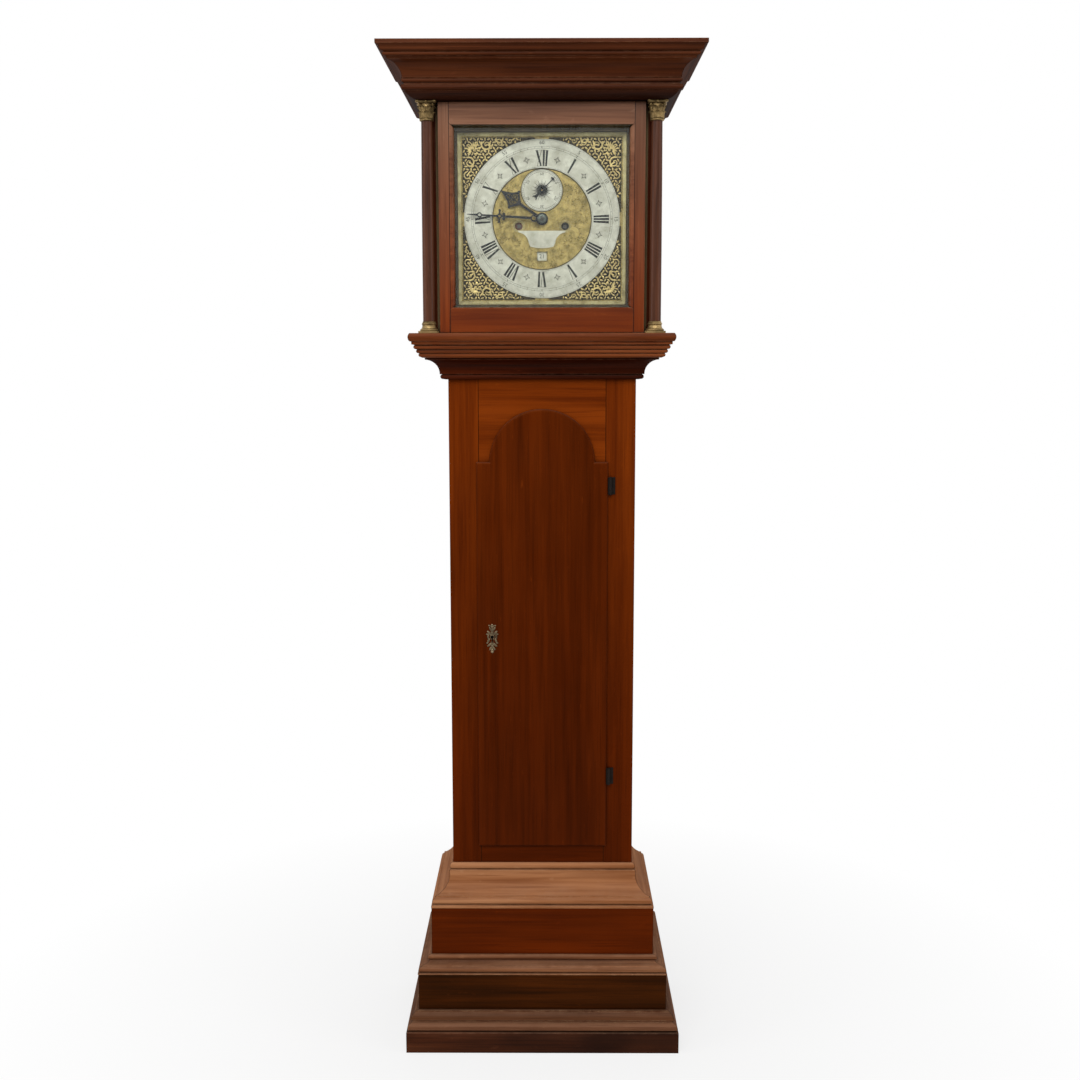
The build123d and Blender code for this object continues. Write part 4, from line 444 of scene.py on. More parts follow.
# Each wooden node with its finish, the finish's three tones, and what sets it apart
WOODS = {
    "trunk_front_frame": ("stained_oak_trunk_frame_painted_shade_below", ((142, 62, 12), (118, 47, 6), (84, 28, 3)), dict(
        stile=0.118, wear=0.2, gloss=0.12, film=0.0,
        # The darker lower tones are painted shade, where less light falls towards the floor
        lower=(0.5, 1.15, ((104, 36, 4), (86, 28, 2), (60, 16, 1))))),
    "trunk_sides": ("stained_oak_trunk_sides", ((120, 50, 10), (96, 35, 4), (60, 19, 2)), dict(
        stile=0.0, wear=0.3, film=0.04)),
    "trunk_door_board": ("stained_oak_door_painted_light", ((110, 43, 6), (93, 33, 3), (66, 20, 1)), dict(
        # Its pale edges are partly wear and partly a painted highlight along the arch's lip; the darker lower
        # tones are painted shade towards the floor
        stile=0.0, wear=0.6, figure=1.8, gloss=0.12, film=0.0, worn=(150, 92, 58),
        lower=(0.4, 1.1, ((92, 33, 4), (79, 25, 2), (54, 14, 1))))),
    "throat_moulding": ("stained_oak_throat", ((92, 36, 10), (66, 21, 4), (34, 10, 2)), dict(
        mitre=MITRE, dust=0.1)),
    "base_upper_moulding": ("worn_oak_upper_moulding", ((196, 144, 104), (171, 114, 74), (124, 72, 40)), dict(
        mitre=MITRE, worn=WORN_PALE, wear=0.7, dust=0.3, blotch=0.3)),
    "base_middle_moulding": ("worn_oak_middle_moulding", ((166, 114, 78), (132, 84, 54), (80, 44, 26)), dict(
        mitre=MITRE, worn=WORN_PALE, wear=0.9, dust=0.3, chip=(0.014, -0.2, 0.172))),
    "base_lower_moulding": ("worn_oak_lower_moulding", ((112, 72, 46), (90, 53, 32), (54, 28, 14)), dict(
        mitre=MITRE, worn=WORN_PALE, wear=0.8, dust=0.2,
        lower=(0.058, 0.064, ((138, 96, 70), (112, 71, 48), (70, 38, 22))))),
    "base_panels": ("dark_oak_base_panels", ((108, 38, 4), (92, 31, 2), (66, 19, 2)), dict(
        mitre=MITRE, wear=0.4, blotch=0.5, gloss=0.1, film=0.0,
        lower=(0.15, 0.17, ((92, 44, 12), (62, 26, 4), (24, 9, 3))))),
    "plinth": ("scuffed_oak_plinth", ((120, 70, 44), (78, 38, 18), (32, 14, 7)), dict(
        mitre=MITRE, wear=0.7, blotch=0.9)),
    "hood_sill_moulding": ("waxed_oak_sill", ((150, 84, 46), (120, 60, 28), (68, 28, 12)), dict(
        mitre=MITRE, wear=0.8, dust=0.3, rough=0.36)),
    "hood_cornice": ("waxed_oak_cornice_painted_shade_below", ((110, 60, 34), (86, 42, 20), (50, 23, 12)), dict(
        mitre=MITRE, wear=0.7, rough=0.34,
        # The darker tones at its foot are painted shade under the cornice's overhang
        lower=(1.772, 1.782, ((66, 34, 22), (50, 24, 14), (28, 13, 8))))),
    # The pale greyish upper tones are a painted reflection of bright sky on the upper rail and stiles; the
    # lower tones are the oak's own colour
    "hood_door_frame": ("waxed_oak_hood_door_painted_reflection", ((150, 108, 82), (126, 84, 60), (88, 54, 36)), dict(
        stile=0.165, wear=0.6, rough=0.36, film=0.35,
        lower=(1.38, 1.74, ((156, 74, 18), (130, 54, 8), (90, 32, 4))))),
    "hood_mask": ("pale_dial_mask", ((136, 118, 86), (114, 97, 68), (72, 58, 38)), dict(stile=0.0, wear=0.3)),
    "hood_carcase": ("oak_hood_sides", ((112, 50, 18), (86, 34, 10), (46, 16, 5)), dict(stile=0.0)),
    "hood_columns": ("dark_turned_columns", ((132, 88, 62), (106, 63, 43), (58, 32, 20)), dict(
        stile=0.0, rough=0.32, film=0.4, wear=0.2)),
    "backboard": ("bare_softwood_back", ((184, 140, 98), (150, 106, 70), (98, 62, 38)), dict(
        stile=0.0, figure=0.2, rough=0.7, dust=0.0)),
    "seatboard": ("bare_softwood_seat", ((176, 138, 96), (138, 100, 64), (88, 58, 34)), dict(
        figure=0.2, rough=0.7)),
}
for seed, (name, (finish, tones, apart)) in enumerate(WOODS.items(), 1):
    finish_node(name, oak(finish, seed, tones, **apart))
mask_oak = bpy.data.materials["pale_dial_mask"]

dial_brass = metal("gilt_brass", (160, 139, 88), (98, 84, 50), spread=0.8, smooth=0.42, scale=1.6)
# Its near-black tarnish in the hollows and at the foot of the relief is painted shade between the cast leaves
cast_brass_painted_shade = metal("cast_brass_painted_shade", (186, 162, 110), (44, 34, 18), spread=0.35, smooth=0.36, corners=1.0,
                   bump=0.4, reach=0.003, ground=DIAL_FACE)
capital_brass = metal("dull_capital_brass", (172, 146, 100), (44, 33, 20), spread=0.7, smooth=0.42,
                      corners=1.0, bump=0.4)
# A dark matted brass that paints shade, under the cast corners and round the silvered rings
painted_shade_matting = metal("matted_brass_painted_shade", (66, 54, 32), (34, 27, 16), spread=0.8, smooth=0.62, corners=0.5,
                    metallic=0.7, bump=0.8)
wheel_brass = metal("brushed_wheel_brass", (204, 166, 92), (138, 104, 52), smooth=0.28)
lock_brass = metal("worn_escutcheon_brass", (150, 132, 104), (60, 44, 34), spread=0.7, smooth=0.45,
                   corners=1.0, bump=0.5)
cut_line = metal("cut_line_in_brass", (112, 94, 54), (70, 56, 30), spread=0.7, smooth=0.5)
polished_border = metal("polished_brass_border", (172, 158, 118), (116, 100, 66), spread=0.7)
bell_metal = metal("bell_metal", (196, 164, 104), (120, 92, 54), spread=0.6, smooth=0.26)
silvered = metal("silvered_brass", (206, 202, 188), (160, 155, 138), spread=0.7, smooth=0.5, corners=0.5,
                 metallic=0.3)
steel = metal("bright_steel", (150, 150, 150), (96, 88, 80), spread=0.6)
hub_steel = metal("dark_hub_steel", (92, 96, 92), (50, 50, 46), spread=0.6, smooth=0.36)
arbor_steel = metal("steel_arbor_brass_wheel", (84, 80, 76), (190, 152, 82), spread=0.0, corners=0.0,
                    ground=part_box("movement_plates")[0].y)
blued = metal("blued_steel", (26, 28, 36), (48, 42, 40), corners=0.2, metallic=0.8)
iron = metal("dark_iron", (32, 22, 16), (20, 13, 9), spread=0.7, smooth=0.55, corners=0.6, metallic=0.6,
             bump=0.5)
lead = metal("cast_lead", (112, 114, 118), (76, 76, 78), spread=0.8, smooth=0.55, metallic=0.7, bump=0.4)
reddish_hole_shade = metal("reddish_painted_hole_shade", (96, 50, 40), (60, 30, 24), spread=0.7, smooth=0.5, corners=0.0,
                metallic=0.0)
faded_wax = metal("faded_wax", (112, 108, 98), (70, 66, 60), spread=0.8, smooth=0.6, corners=0.0,
                  metallic=0.0)
wax = black_wax()
gut_line = twisted_gut()

for material, names in (
    (dial_brass, "dial_plate"),
    (cast_brass_painted_shade, "spandrels"),
    (capital_brass, "column_brass_mounts"),
    (silvered, "chapter_ring dial_silvered_plates date_ring"),
    (blued, "hour_hand minute_hand seconds_hand"),
    (arbor_steel, "going_barrel strike_barrel centre_arbor"),
    (wheel_brass, "going_great_wheel third_wheel escape_wheel minute_wheel hour_wheel going_pulley"),
    (wheel_brass, "strike_great_wheel pin_wheel hoop_wheel warning_wheel fly strike_pulley"),
    (wheel_brass, "movement_plates movement_pillars pendulum_bob"),
    (steel, "lock_bolt pallets movement_cocks hammer pendulum_rod"),
    (iron, "trunk_door_lock trunk_hinge_fixed_leaves trunk_hinge_moving_leaves hood_door_pivots"),
    (lock_brass, "escutcheon"),
    (bell_metal, "bell"),
    (lead, "going_weight strike_weight"),
    (crown_glass(), "hood_door_glass"),
    (gut_line, "going_line strike_line"),
):
    for name in names.split():
        finish_node(name, material)


# Small pieces

def put_in_scene(name, data):
    thing = bpy.data.objects.new(name, data)
    bpy.context.scene.collection.objects.link(thing)
    return thing


def add_piece(name, mesh, body, material, smooth=False, instead_of=None):
    """A finished piece: its place is in its mesh, and it moves with a body of the clock."""
    piece = put_in_scene(name, mesh)
    mesh.materials.clear()
    mesh.materials.append(material)
    if smooth:
        for face in mesh.polygons:
            face.use_smooth = True
    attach(piece, body)
    if instead_of:
        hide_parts(instead_of)
    return piece


def add_to_dial(name, mesh, material, at=(0, 0, 0), body="case", smooth=False):
    """Adds a piece that is drawn about the middle of the dial, or about a point beside it."""
    return add_piece(name, moved(mesh, DIAL_MIDDLE + Vector(at)), body, material, smooth)


def plain_mesh(name, build):
    mesh = bpy.data.meshes.new(name)
    build.to_mesh(mesh)
    build.free()
    return mesh


def outward_mesh(name, build):
    bmesh.ops.recalc_face_normals(build, faces=build.faces)
    return plain_mesh(name, build)


def merged_mesh(name, build):
    bmesh.ops.remove_doubles(build, verts=build.verts, dist=1e-7)
    return outward_mesh(name, build)


def full_turn(steps):
    return [2 * math.pi * k / steps for k in range(steps)]


def band(build, row, after):
    """Faces between two closed rows of corners; a row with one corner is a tip."""
    steps = max(len(row), len(after))
    for k in range(steps):
        n = (k + 1) % steps
        corners = [row[k % len(row)], row[n % len(row)], after[n % len(after)], after[k % len(after)]]
        build.faces.new(list(dict.fromkeys(corners)))


def prisms(name, shapes, thick, face=0.0):
    """Thin flat shapes in the dial's plane, from lists of (x, z) corners, standing forward of a face."""
    build = bmesh.new()
    for shape in shapes:
        front = [build.verts.new((x, face - thick, z)) for x, z in shape]
        back = [build.verts.new((x, face, z)) for x, z in shape]
        build.faces.new(front)
        build.faces.new(list(reversed(back)))
        for k in range(len(shape)):
            n = (k + 1) % len(shape)
            build.faces.new((front[k], back[k], back[n], front[n]))
    return outward_mesh(name, build)


def lathe(name, points, steps=48):
    """A closed turned shape about the Y axis from (radius, y) points."""
    build = bmesh.new()
    rows = [[build.verts.new((radius * math.cos(a), y, radius * math.sin(a))) for a in full_turn(steps)]
            for radius, y in points]
    for row, after in zip(rows, rows[1:] + rows[:1]):
        band(build, row, after)
    return merged_mesh(name, build)


def flat_ring(name, inner, outer, thick, face=0.0):
    return lathe(name, [(inner, face), (outer, face), (outer, face - thick), (inner, face - thick)], 128)


def circle_line(radius, wide):
    return flat_ring("circle", radius - wide / 2, radius + wide / 2, ENGRAVED)


def moved(mesh, by):
    mesh.transform(Matrix.Translation(by))
    return mesh


def joined(name, meshes):
    build = bmesh.new()
    for mesh in meshes:
        build.from_mesh(mesh)
        bpy.data.meshes.remove(mesh)
    return plain_mesh(name, build)


def make_round_tree():
    """Geometry nodes that set copies of a piece evenly round an axis through the origin."""
    tree = bpy.data.node_groups.new("copies_round_an_axis", "GeometryNodeTree")
    sockets = (
        ("Piece", "NodeSocketObject"), ("Count", "NodeSocketInt"), ("Axis", "NodeSocketVector"),
        ("First Turn", "NodeSocketFloat"), ("Finish", "NodeSocketMaterial"),
    )
    tree.interface.new_socket("Geometry", in_out="INPUT", socket_type="NodeSocketGeometry")
    for label, kind in sockets:
        tree.interface.new_socket(label, in_out="INPUT", socket_type=kind)
    tree.interface.new_socket("Geometry", in_out="OUTPUT", socket_type="NodeSocketGeometry")
    entry = tree.nodes.new("NodeGroupInput").outputs
    end = tree.nodes.new("NodeGroupOutput").inputs
    points = place(tree, "GeometryNodePoints", {"Count": entry["Count"]})
    index = place(tree, "GeometryNodeInputIndex").outputs[0]
    share = maths(tree, "DIVIDE", index, entry["Count"])
    angle = maths(tree, "ADD", maths(tree, "MULTIPLY", share, 2 * math.pi), entry["First Turn"])
    turn = place(tree, "ShaderNodeVectorMath", {0: entry["Axis"], "Scale": angle}, operation="SCALE")
    rotation = place(tree, "FunctionNodeEulerToRotation", {0: turn.outputs[0]}).outputs[0]
    piece = place(tree, "GeometryNodeObjectInfo", {"Object": entry["Piece"]}).outputs["Geometry"]
    copies = place(tree, "GeometryNodeInstanceOnPoints", {
        "Points": points.outputs[0], "Instance": piece, "Rotation": rotation,
    })
    real = place(tree, "GeometryNodeRealizeInstances", {"Geometry": copies.outputs[0]}).outputs[0]
    made = place(tree, "GeometryNodeSetMaterial", {"Geometry": real, "Material": entry["Finish"]})
    tree.links.new(made.outputs[0], end["Geometry"])
    return tree


round_tree = make_round_tree()


def copies_round(name, piece_mesh, count, material, axis=(0, 1, 0), first=0.0):
    """Runs the copying nodes once and returns the result as a plain mesh about the origin."""
    piece = bpy.data.objects.new(name + "_one", piece_mesh)
    carrier = put_in_scene(name + "_carrier", bpy.data.meshes.new(name + "_carrier"))
    modifier = carrier.modifiers.new("copies", "NODES")
    modifier.node_group = round_tree
    values = {"Piece": piece, "Count": count, "Axis": axis, "First Turn": first, "Finish": material}
    for item in round_tree.interface.items_tree:
        if item.in_out == "INPUT" and item.name in values:
            modifier[item.identifier] = values[item.name]
    found = carrier.evaluated_get(bpy.context.evaluated_depsgraph_get())
    mesh = bpy.data.meshes.new_from_object(found)
    mesh.name = name
    carrier.modifiers.remove(modifier)
    bpy.data.objects.remove(carrier)
    bpy.data.objects.remove(piece)
    return mesh


def polar(radius, clock):
    """A point of the dial from its radius and its clock angle in degrees."""
    angle = math.radians(clock)
    return radius * math.sin(angle), radius * math.cos(angle)


def numeral_shapes(word, clock):
    """A Roman numeral with thick and thin strokes and long serifs, its head away from the middle."""
    tall = NUMERAL_HEAD_R - NUMERAL_FOOT_R
    middle = (NUMERAL_HEAD_R + NUMERAL_FOOT_R) / 2
    thick, thin, serif, tip = 3.6 * MM, 0.9 * MM, 0.45 * MM, 1.2 * MM
    widths = {"I": 5.1 * MM, "V": 10.8 * MM, "X": 11.8 * MM}
    left = -sum(widths[letter] for letter in word) / 2
    flat = []

    def slant(head, foot, wide):
        half = wide / 2
        flat.append([(head - half, tall), (head + half, tall), (foot + half, 0), (foot - half, 0)])

    for letter in word:
        wide = widths[letter]
        right = left + wide
        inset = thick / 2 + thin
        if letter == "I":
            slant(left + wide / 2, left + wide / 2, thick)
        elif letter == "V":
            slant(left + inset, left + wide / 2, thick)
            slant(right - tip, left + wide / 2 + thick / 3, thin)
        else:
            slant(left + inset, right - inset, thick)
            slant(right - tip, left + tip, thin)
        left = right
    half = sum(widths[letter] for letter in word) / 2 - 0.3 * MM
    for low in (0, tall - serif):
        for k in range(6):
            a, b = -half + 2 * half * k / 6, -half + 2 * half * (k + 1) / 6
            flat.append([(a, low), (b, low), (b, low + serif), (a, low + serif)])
    return [[polar(NUMERAL_FOOT_R + v, clock + math.degrees(u / middle)) for u, v in shape]
            for shape in flat]


def floret():
    """A small eight-petalled half-hour mark, drawn at the top of the dial."""
    shapes = []
    for k in range(8):
        angle = math.pi * k / 4
        long, wide = (6.6 * MM, 1.3 * MM) if k % 2 == 0 else (4.4 * MM, 0.8 * MM)
        out = Vector((math.sin(angle), math.cos(angle)))
        side = Vector((math.cos(angle), -math.sin(angle)))
        belly = out * long * 0.62
        points = [out * 1.0 * MM, belly + side * wide, out * long, belly - side * wide]
        shapes.append([(p.x, HALF_HOUR_R + p.y) for p in points])
    return prisms("floret", shapes, ENGRAVED)


def tick(inner, outer, wide):
    half = wide / 2
    return prisms("tick", [[(-half, inner), (half, inner), (half, outer), (-half, outer)]], ENGRAVED)


def number_mesh(text, tall, radius, clock, face, upright=False):
    """A plain number as a thin flat mesh on the dial, its head outwards, or inwards if it is upright."""
    curve = bpy.data.curves.new("number", "FONT")
    curve.body = text
    curve.size = tall / 0.72
    curve.align_x, curve.align_y = "CENTER", "CENTER"
    curve.extrude = ENGRAVED / 2
    curve.resolution_u = 2
    holder = put_in_scene("number", curve)
    bpy.context.view_layer.update()
    found = holder.evaluated_get(bpy.context.evaluated_depsgraph_get())
    mesh = bpy.data.meshes.new_from_object(found)
    bpy.data.objects.remove(holder)
    x, z = polar(radius, clock)
    spin = Matrix.Rotation(math.radians(clock + (180 if upright else 0)), 4, "Y")
    stand = Matrix.Rotation(math.radians(90), 4, "X")
    mesh.transform(Matrix.Translation((x, face - ENGRAVED / 2, z)) @ spin @ stand)
    return mesh


def engrave_chapter_ring():
    words = ["XII", "I", "II", "III", "IIII", "V", "VI", "VII", "VIII", "IX", "X", "XI"]
    shapes = [shape for k, word in enumerate(words) for shape in numeral_shapes(word, 30 * k)]
    meshes = [prisms("numerals", shapes, ENGRAVED)]
    for radius, wide in ((MINUTE_TRACK_IN_R, 0.35 * MM), (MINUTE_TRACK_OUT_R, 0.35 * MM),
                         (QUARTER_TRACK_OUT_R, 0.35 * MM), (RIM_CIRCLE_R, 0.3 * MM)):
        meshes.append(circle_line(radius, wide))
    for name, count, inner, outer, wide in (
        ("minutes", 60, MINUTE_TRACK_IN_R, MINUTE_TRACK_OUT_R, 0.4 * MM),
        ("fives", 12, MINUTE_TRACK_IN_R, MINUTE_TRACK_OUT_R, 1.1 * MM),
        ("quarters", 48, QUARTER_TRACK_IN_R, QUARTER_TRACK_OUT_R, 0.45 * MM),
    ):
        meshes.append(copies_round(name, tick(inner, outer, wide), count, wax))
    face = (0, CHAPTER_FACE, 0)
    florets = copies_round("half_hour_florets", floret(), 12, faded_wax, first=math.radians(15))
    add_to_dial("half_hour_florets", florets, faded_wax, face)
    for k in range(12):
        meshes.append(number_mesh(str(5 * k or 60), MINUTE_NUMBER_TALL, MINUTE_NUMBER_R, 30 * k, 0))
    mesh = joined("chapter_ring_engraving", meshes)
    add_to_dial("chapter_ring_engraving", mesh, wax, face)


def engrave_seconds():
    """The seconds track with its numbers, and a star of 32 rays in its middle."""
    meshes = [circle_line(radius, 0.4 * MM) for radius in (SECONDS_TRACK_OUT_R, SECONDS_TRACK_IN_R)]
    mark = tick(SECONDS_TRACK_IN_R, SECONDS_TRACK_OUT_R, 0.35 * MM)
    meshes.append(copies_round("seconds", mark, 60, wax))
    for k in range(6):
        meshes.append(number_mesh(str(10 * k or 60), SECONDS_NUMBER_TALL, SECONDS_NUMBER_R, 60 * k, 0))
    meshes.append(flat_ring("star", 2.8 * MM, 7.2 * MM, ENGRAVED))
    for long, turn in ((20, 0), (15, 11.25)):
        ray = [(0, 4.2 * MM), (0.9 * MM, 8.5 * MM), (0, long * MM), (-0.9 * MM, 8.5 * MM)]
        ray = prisms("ray", [ray], ENGRAVED)
        meshes.append(copies_round("rays", ray, 16, wax, first=math.radians(turn)))
    mesh = joined("seconds_dial_engraving", meshes)
    add_to_dial("seconds_dial_engraving", mesh, wax, (0, SMALL_PLATE_FACE, SECONDS_RISE))


def engrave_dates():
    """Numbers from 1 to 31 on the date ring: one shows through the square opening."""
    meshes = []
    for date in range(1, DATES + 1):
        clock = 180 + 360 / DATES * (date - DATE_AT_OPENING)
        meshes.append(number_mesh(str(date), DATE_TALL, DATE_R, clock, DATE_RING_FACE, True))
    mesh = joined("date_numbers", meshes)
    add_to_dial("date_numbers", mesh, wax, body="date_ring")


def square_frame(half, wide, thick, face, tall_half=None):
    """Four mitred strips round a square or an oblong."""
    h, v = half, tall_half or half
    shapes = []
    for a, b in (((-h, v), (h, v)), ((h, v), (h, -v)), ((h, -v), (-h, -v)), ((-h, -v), (-h, v))):
        inner = [(math.copysign(abs(x) - wide, x), math.copysign(abs(z) - wide, z)) for x, z in (b, a)]
        shapes.append([a, b] + inner)
    return prisms("frame", shapes, thick, face)


def trim_dial():
    """The bright border and the cut lines beside it, the rings of the winding holes and the dark discs of
    painted shade behind them, the edge of the date opening, and the painted shadow rings round the silvered
    rings."""
    border = square_frame(DIAL_HALF - 0.4 * MM, 5.6 * MM, 0.35 * MM, DIAL_FACE)
    add_to_dial("dial_border", border, polished_border)
    at_opening = Vector((0, 0, -DATE_R))
    lines = [square_frame(DIAL_HALF - 6.6 * MM, 0.45 * MM, 0.1 * MM, DIAL_FACE)]
    lines.append(square_frame(DIAL_HALF - 8.2 * MM, 0.3 * MM, 0.1 * MM, DIAL_FACE))
    lines.append(moved(square_frame(10.6 * MM, 0.5 * MM, 0.12 * MM, DIAL_FACE, 9.6 * MM), at_opening))
    add_to_dial("dial_cut_lines", joined("dial_cut_lines", lines), cut_line)
    rings, half_bead = [], 0.7 * MM
    for side in (-1, 1):
        for radius in (8.0 * MM, 10.2 * MM):
            bead = [(radius + half_bead * math.cos(a), DIAL_FACE + half_bead * math.sin(a))
                    for a in full_turn(8)]
            hole = Vector((WINDING_HOLE_OUT * side, 0, WINDING_HOLE_RISE))
            rings.append(moved(lathe("bead", bead), hole))
    rings.append(moved(square_frame(9.6 * MM, 1.1 * MM, 0.6 * MM, DIAL_FACE, 8.6 * MM), at_opening))
    rings = joined("winding_hole_rings", rings)
    add_to_dial("winding_hole_rings", rings, polished_border, smooth=True)
    # Painted shade: a reddish and a black disc behind the winding holes stand for the dark inside them
    for name, side, material in (("left", -1, reddish_hole_shade), ("right", 1, wax)):
        shade = flat_ring("shade", 3.0 * MM, 8.4 * MM, 0.2 * MM, dial_high.y + 0.25 * MM)
        hole = (WINDING_HOLE_OUT * side, 0, WINDING_HOLE_RISE)
        add_to_dial(name + "_winding_hole_shade", shade, material, hole)
    # Painted shadow: dark rings along the inner edge of the chapter ring and round the seconds disc
    shadow_rings = [flat_ring("shadow_ring", CENTRE_SHADOW_IN_R, CENTRE_SHADOW_OUT_R, 0.1 * MM, DIAL_FACE)]
    shadow_ring = flat_ring("shadow_ring", SECONDS_SHADOW_IN_R, SECONDS_SHADOW_OUT_R, 0.1 * MM, DIAL_FACE)
    shadow_rings.append(moved(shadow_ring, Vector((0, 0, SECONDS_RISE))))
    add_to_dial("dial_seams", joined("dial_seams", shadow_rings), painted_shade_matting)


def scroll_ribbon(centre, start, end, turn, sweep, wide):
    """A spiral ribbon, wide in its middle: corner lists for thin prisms."""
    steps, rows = 44, []
    for k in range(steps + 1):
        share = k / steps
        radius = start + (end - start) * share
        angle = math.radians(turn + sweep * share)
        half = wide * (0.25 + 0.75 * math.sin(math.pi * share)) / 2
        out = Vector((math.cos(angle), math.sin(angle)))
        middle = Vector(centre) + out * radius
        rows.append((middle - out * half, middle + out * half))
    return [[a[0], a[1], b[1], b[0]] for a, b in zip(rows, rows[1:])]


def engrave_dial_centre():
    """Leafy scrolls cut into the matted middle of the dial, alike on both sides."""
    half = []
    # Each scroll's middle and radius in millimetres, and its first turn and sweep in degrees
    for x, z, r, turn, sweep in ((62, 26, 16, 200, 420), (58, -26, 15, 150, -430), (30, -58, 12, 100, 400),
                                 (76, 0, 9, 90, 400), (44, 52, 12, 250, 400), (46, -44, 7, 0, 380),
                                 (22, -80, 6, 60, 380), (72, -38, 6, 200, -380), (66, 50, 6, 20, 380)):
        half += scroll_ribbon((x * MM, z * MM), r * MM, r * 0.16 * MM, turn, sweep, 0.9 * MM)
        for k in range(9):
            share = 0.06 + 0.09 * k
            angle = math.radians(turn + sweep * share)
            out = Vector((math.cos(angle), math.sin(angle)))
            side = Vector((-out.y, out.x)) * math.copysign(1, sweep)
            root = Vector((x * MM, z * MM)) + out * (r * (1 - 0.84 * share) * MM)
            half.append([root + out * along * MM + side * across * MM for along, across in (
                (0, 0), (1.7, 0.3), (2.9, 1.7), (3.1, 3.3), (1.6, 2.5), (0.4, 1.3))])
    shapes = [[(p[0] * side, p[1]) for p in shape] for shape in half for side in (-1, 1)]
    shapes = [shape for shape in shapes if max(math.hypot(*p) for p in shape) < SCROLLS_END_R]
    mesh = prisms("dial_centre_scrolls", shapes, 0.1 * MM, DIAL_FACE)
    add_to_dial("dial_centre_scrolls", mesh, cut_line)


def ellipse_lobes(points):
    """A height map from domed leaves: each has a middle, a half-length, a half-width, a lean and a height."""
    leaves = [(u, v, long, wide, math.cos(lean), math.sin(lean), tall)
              for u, v, long, wide, lean, tall in points]

    def height(u, v):
        best = 0.0
        for cu, cv, long, wide, c, s, tall in leaves:
            du, dv = u - cu, v - cv
            along, across = du * c + dv * s, dv * c - du * s
            away = (along / long) ** 2 + (across / wide) ** 2
            if away < 1:
                rib = 1 - 0.4 * math.exp(-((across / (wide * 0.22)) ** 2))
                best = max(best, tall * math.sqrt(1 - away) * rib)
        return best

    return height


def leafy_scroll(u, v, outer, inner, turn, sweep, count, tall):
    """Leaves laid along a spiral, each smaller than the last, with a round boss at its eye."""
    found = [(u, v, inner * 0.9, inner * 0.9, 0, tall)]
    for k in range(count):
        share = k / (count - 1)
        radius = outer + (inner - outer) * share
        angle = math.radians(turn + sweep * share)
        lean = angle + math.radians(90 + (28 if sweep > 0 else -28))
        size = 0.2 * radius + 1.2
        found.append((u + radius * math.cos(angle), v + radius * math.sin(angle), size * 1.3, size * 0.6,
                      lean, tall))
    return found


def height_levels(height, across, up, step):
    """The heights of a map on a square grid, in millimetres."""
    columns, rows = int(across / step) + 1, int(up / step) + 1
    return {(i, j): height(i * step, j * step) for i in range(columns) for j in range(rows)}


def relief(name, levels, step, least, put):
    """A cast openwork plate over a height map, closed behind, with gaps where the map is low."""
    cells = {
        (i, j) for i, j in levels
        if min(levels.get(key, 0.0) for key in ((i, j), (i + 1, j), (i + 1, j + 1), (i, j + 1))) > least
    }
    build = bmesh.new()
    tops, backs = {}, {}

    def corner(kept, key, level):
        if key not in kept:
            kept[key] = build.verts.new(put(key[0] * step, key[1] * step, level))
        return kept[key]

    for i, j in sorted(cells):
        around = [(i, j), (i + 1, j), (i + 1, j + 1), (i, j + 1)]
        top = build.faces.new([corner(tops, key, levels[key]) for key in around])
        top.smooth = True
        build.faces.new([corner(backs, key, 0.0) for key in reversed(around)])
        for side, (a, b) in zip(((0, -1), (1, 0), (0, 1), (-1, 0)), zip(around, around[1:] + around[:1])):
            if (i + side[0], j + side[1]) not in cells:
                build.faces.new((tops[b], tops[a], backs[a], backs[b]))
    return outward_mesh(name, build)


def make_spandrels():
    """Four cast openwork corners: a shell on the diagonal, leafy scrolls along both edges, and small leaves
    between them. Lengths are in millimetres from the corner."""
    eye, reach, thick, step = 22, 106, 2.2, 0.62
    half = [(eye, eye, 3.4, 3.4, 0, 2.2)]
    for middle, count, gap, out, long, tall in ((225, 9, 18, 10, 5.6, 2.1), (45, 5, 36, 7.5, 4.2, 1.9)):
        for k in range(count):
            lean = math.radians(middle + (k - count // 2) * gap)
            half.append((eye + out * math.cos(lean), eye + out * math.sin(lean), long, 1.7, lean, tall))
    side = leafy_scroll(44, 13, 9.5, 2.2, 200, -430, 21, 2.0)
    side += leafy_scroll(67, 9.5, 7, 2, 190, 400, 17, 1.9)
    side += leafy_scroll(86, 6, 4.4, 1.4, 170, -360, 11, 1.7)
    mirrored = [(v, u, long, wide, math.pi / 2 - lean, tall) for u, v, long, wide, lean, tall in side]
    corner = DIAL_HALF / MM - CORNER_INSET
    limit = CHAPTER_R / MM + 0.4
    large = half + side + mirrored
    taken, small = ellipse_lobes(large), []
    for i in range(17):
        for j in range(20):
            u, v = 3.0 + 6.4 * i + 3.2 * (j % 2), 3.0 + 5.3 * j
            if math.hypot(corner - u, corner - v) > limit + 1 and taken(u, v) < 0.8:
                small.append((u, v, 3.9, 1.9, (1.3 * i + 2.1 * j) % math.pi, 2.0))
    height = ellipse_lobes(large + small)

    def within(u, v):
        if u < 0.3 or v < 0.3 or math.hypot(corner - u, corner - v) < limit:
            return 0.0
        return height(u, v)

    levels = height_levels(within, reach, reach, step)

    for name, right, top in (("spandrel_left_top", -1, 1), ("spandrel_right_top", 1, 1),
                             ("spandrel_left_foot", -1, -1), ("spandrel_right_foot", 1, -1)):
        def put(u, v, level):
            x, z = right * (corner - u) * MM, top * (corner - v) * MM
            return DIAL_MIDDLE + Vector((x, DIAL_FACE - min(level, thick) * MM, z))
        mesh = relief(name, levels, step, 0.25, put)
        add_piece(name, mesh, "case", cast_brass_painted_shade, instead_of="spandrels")


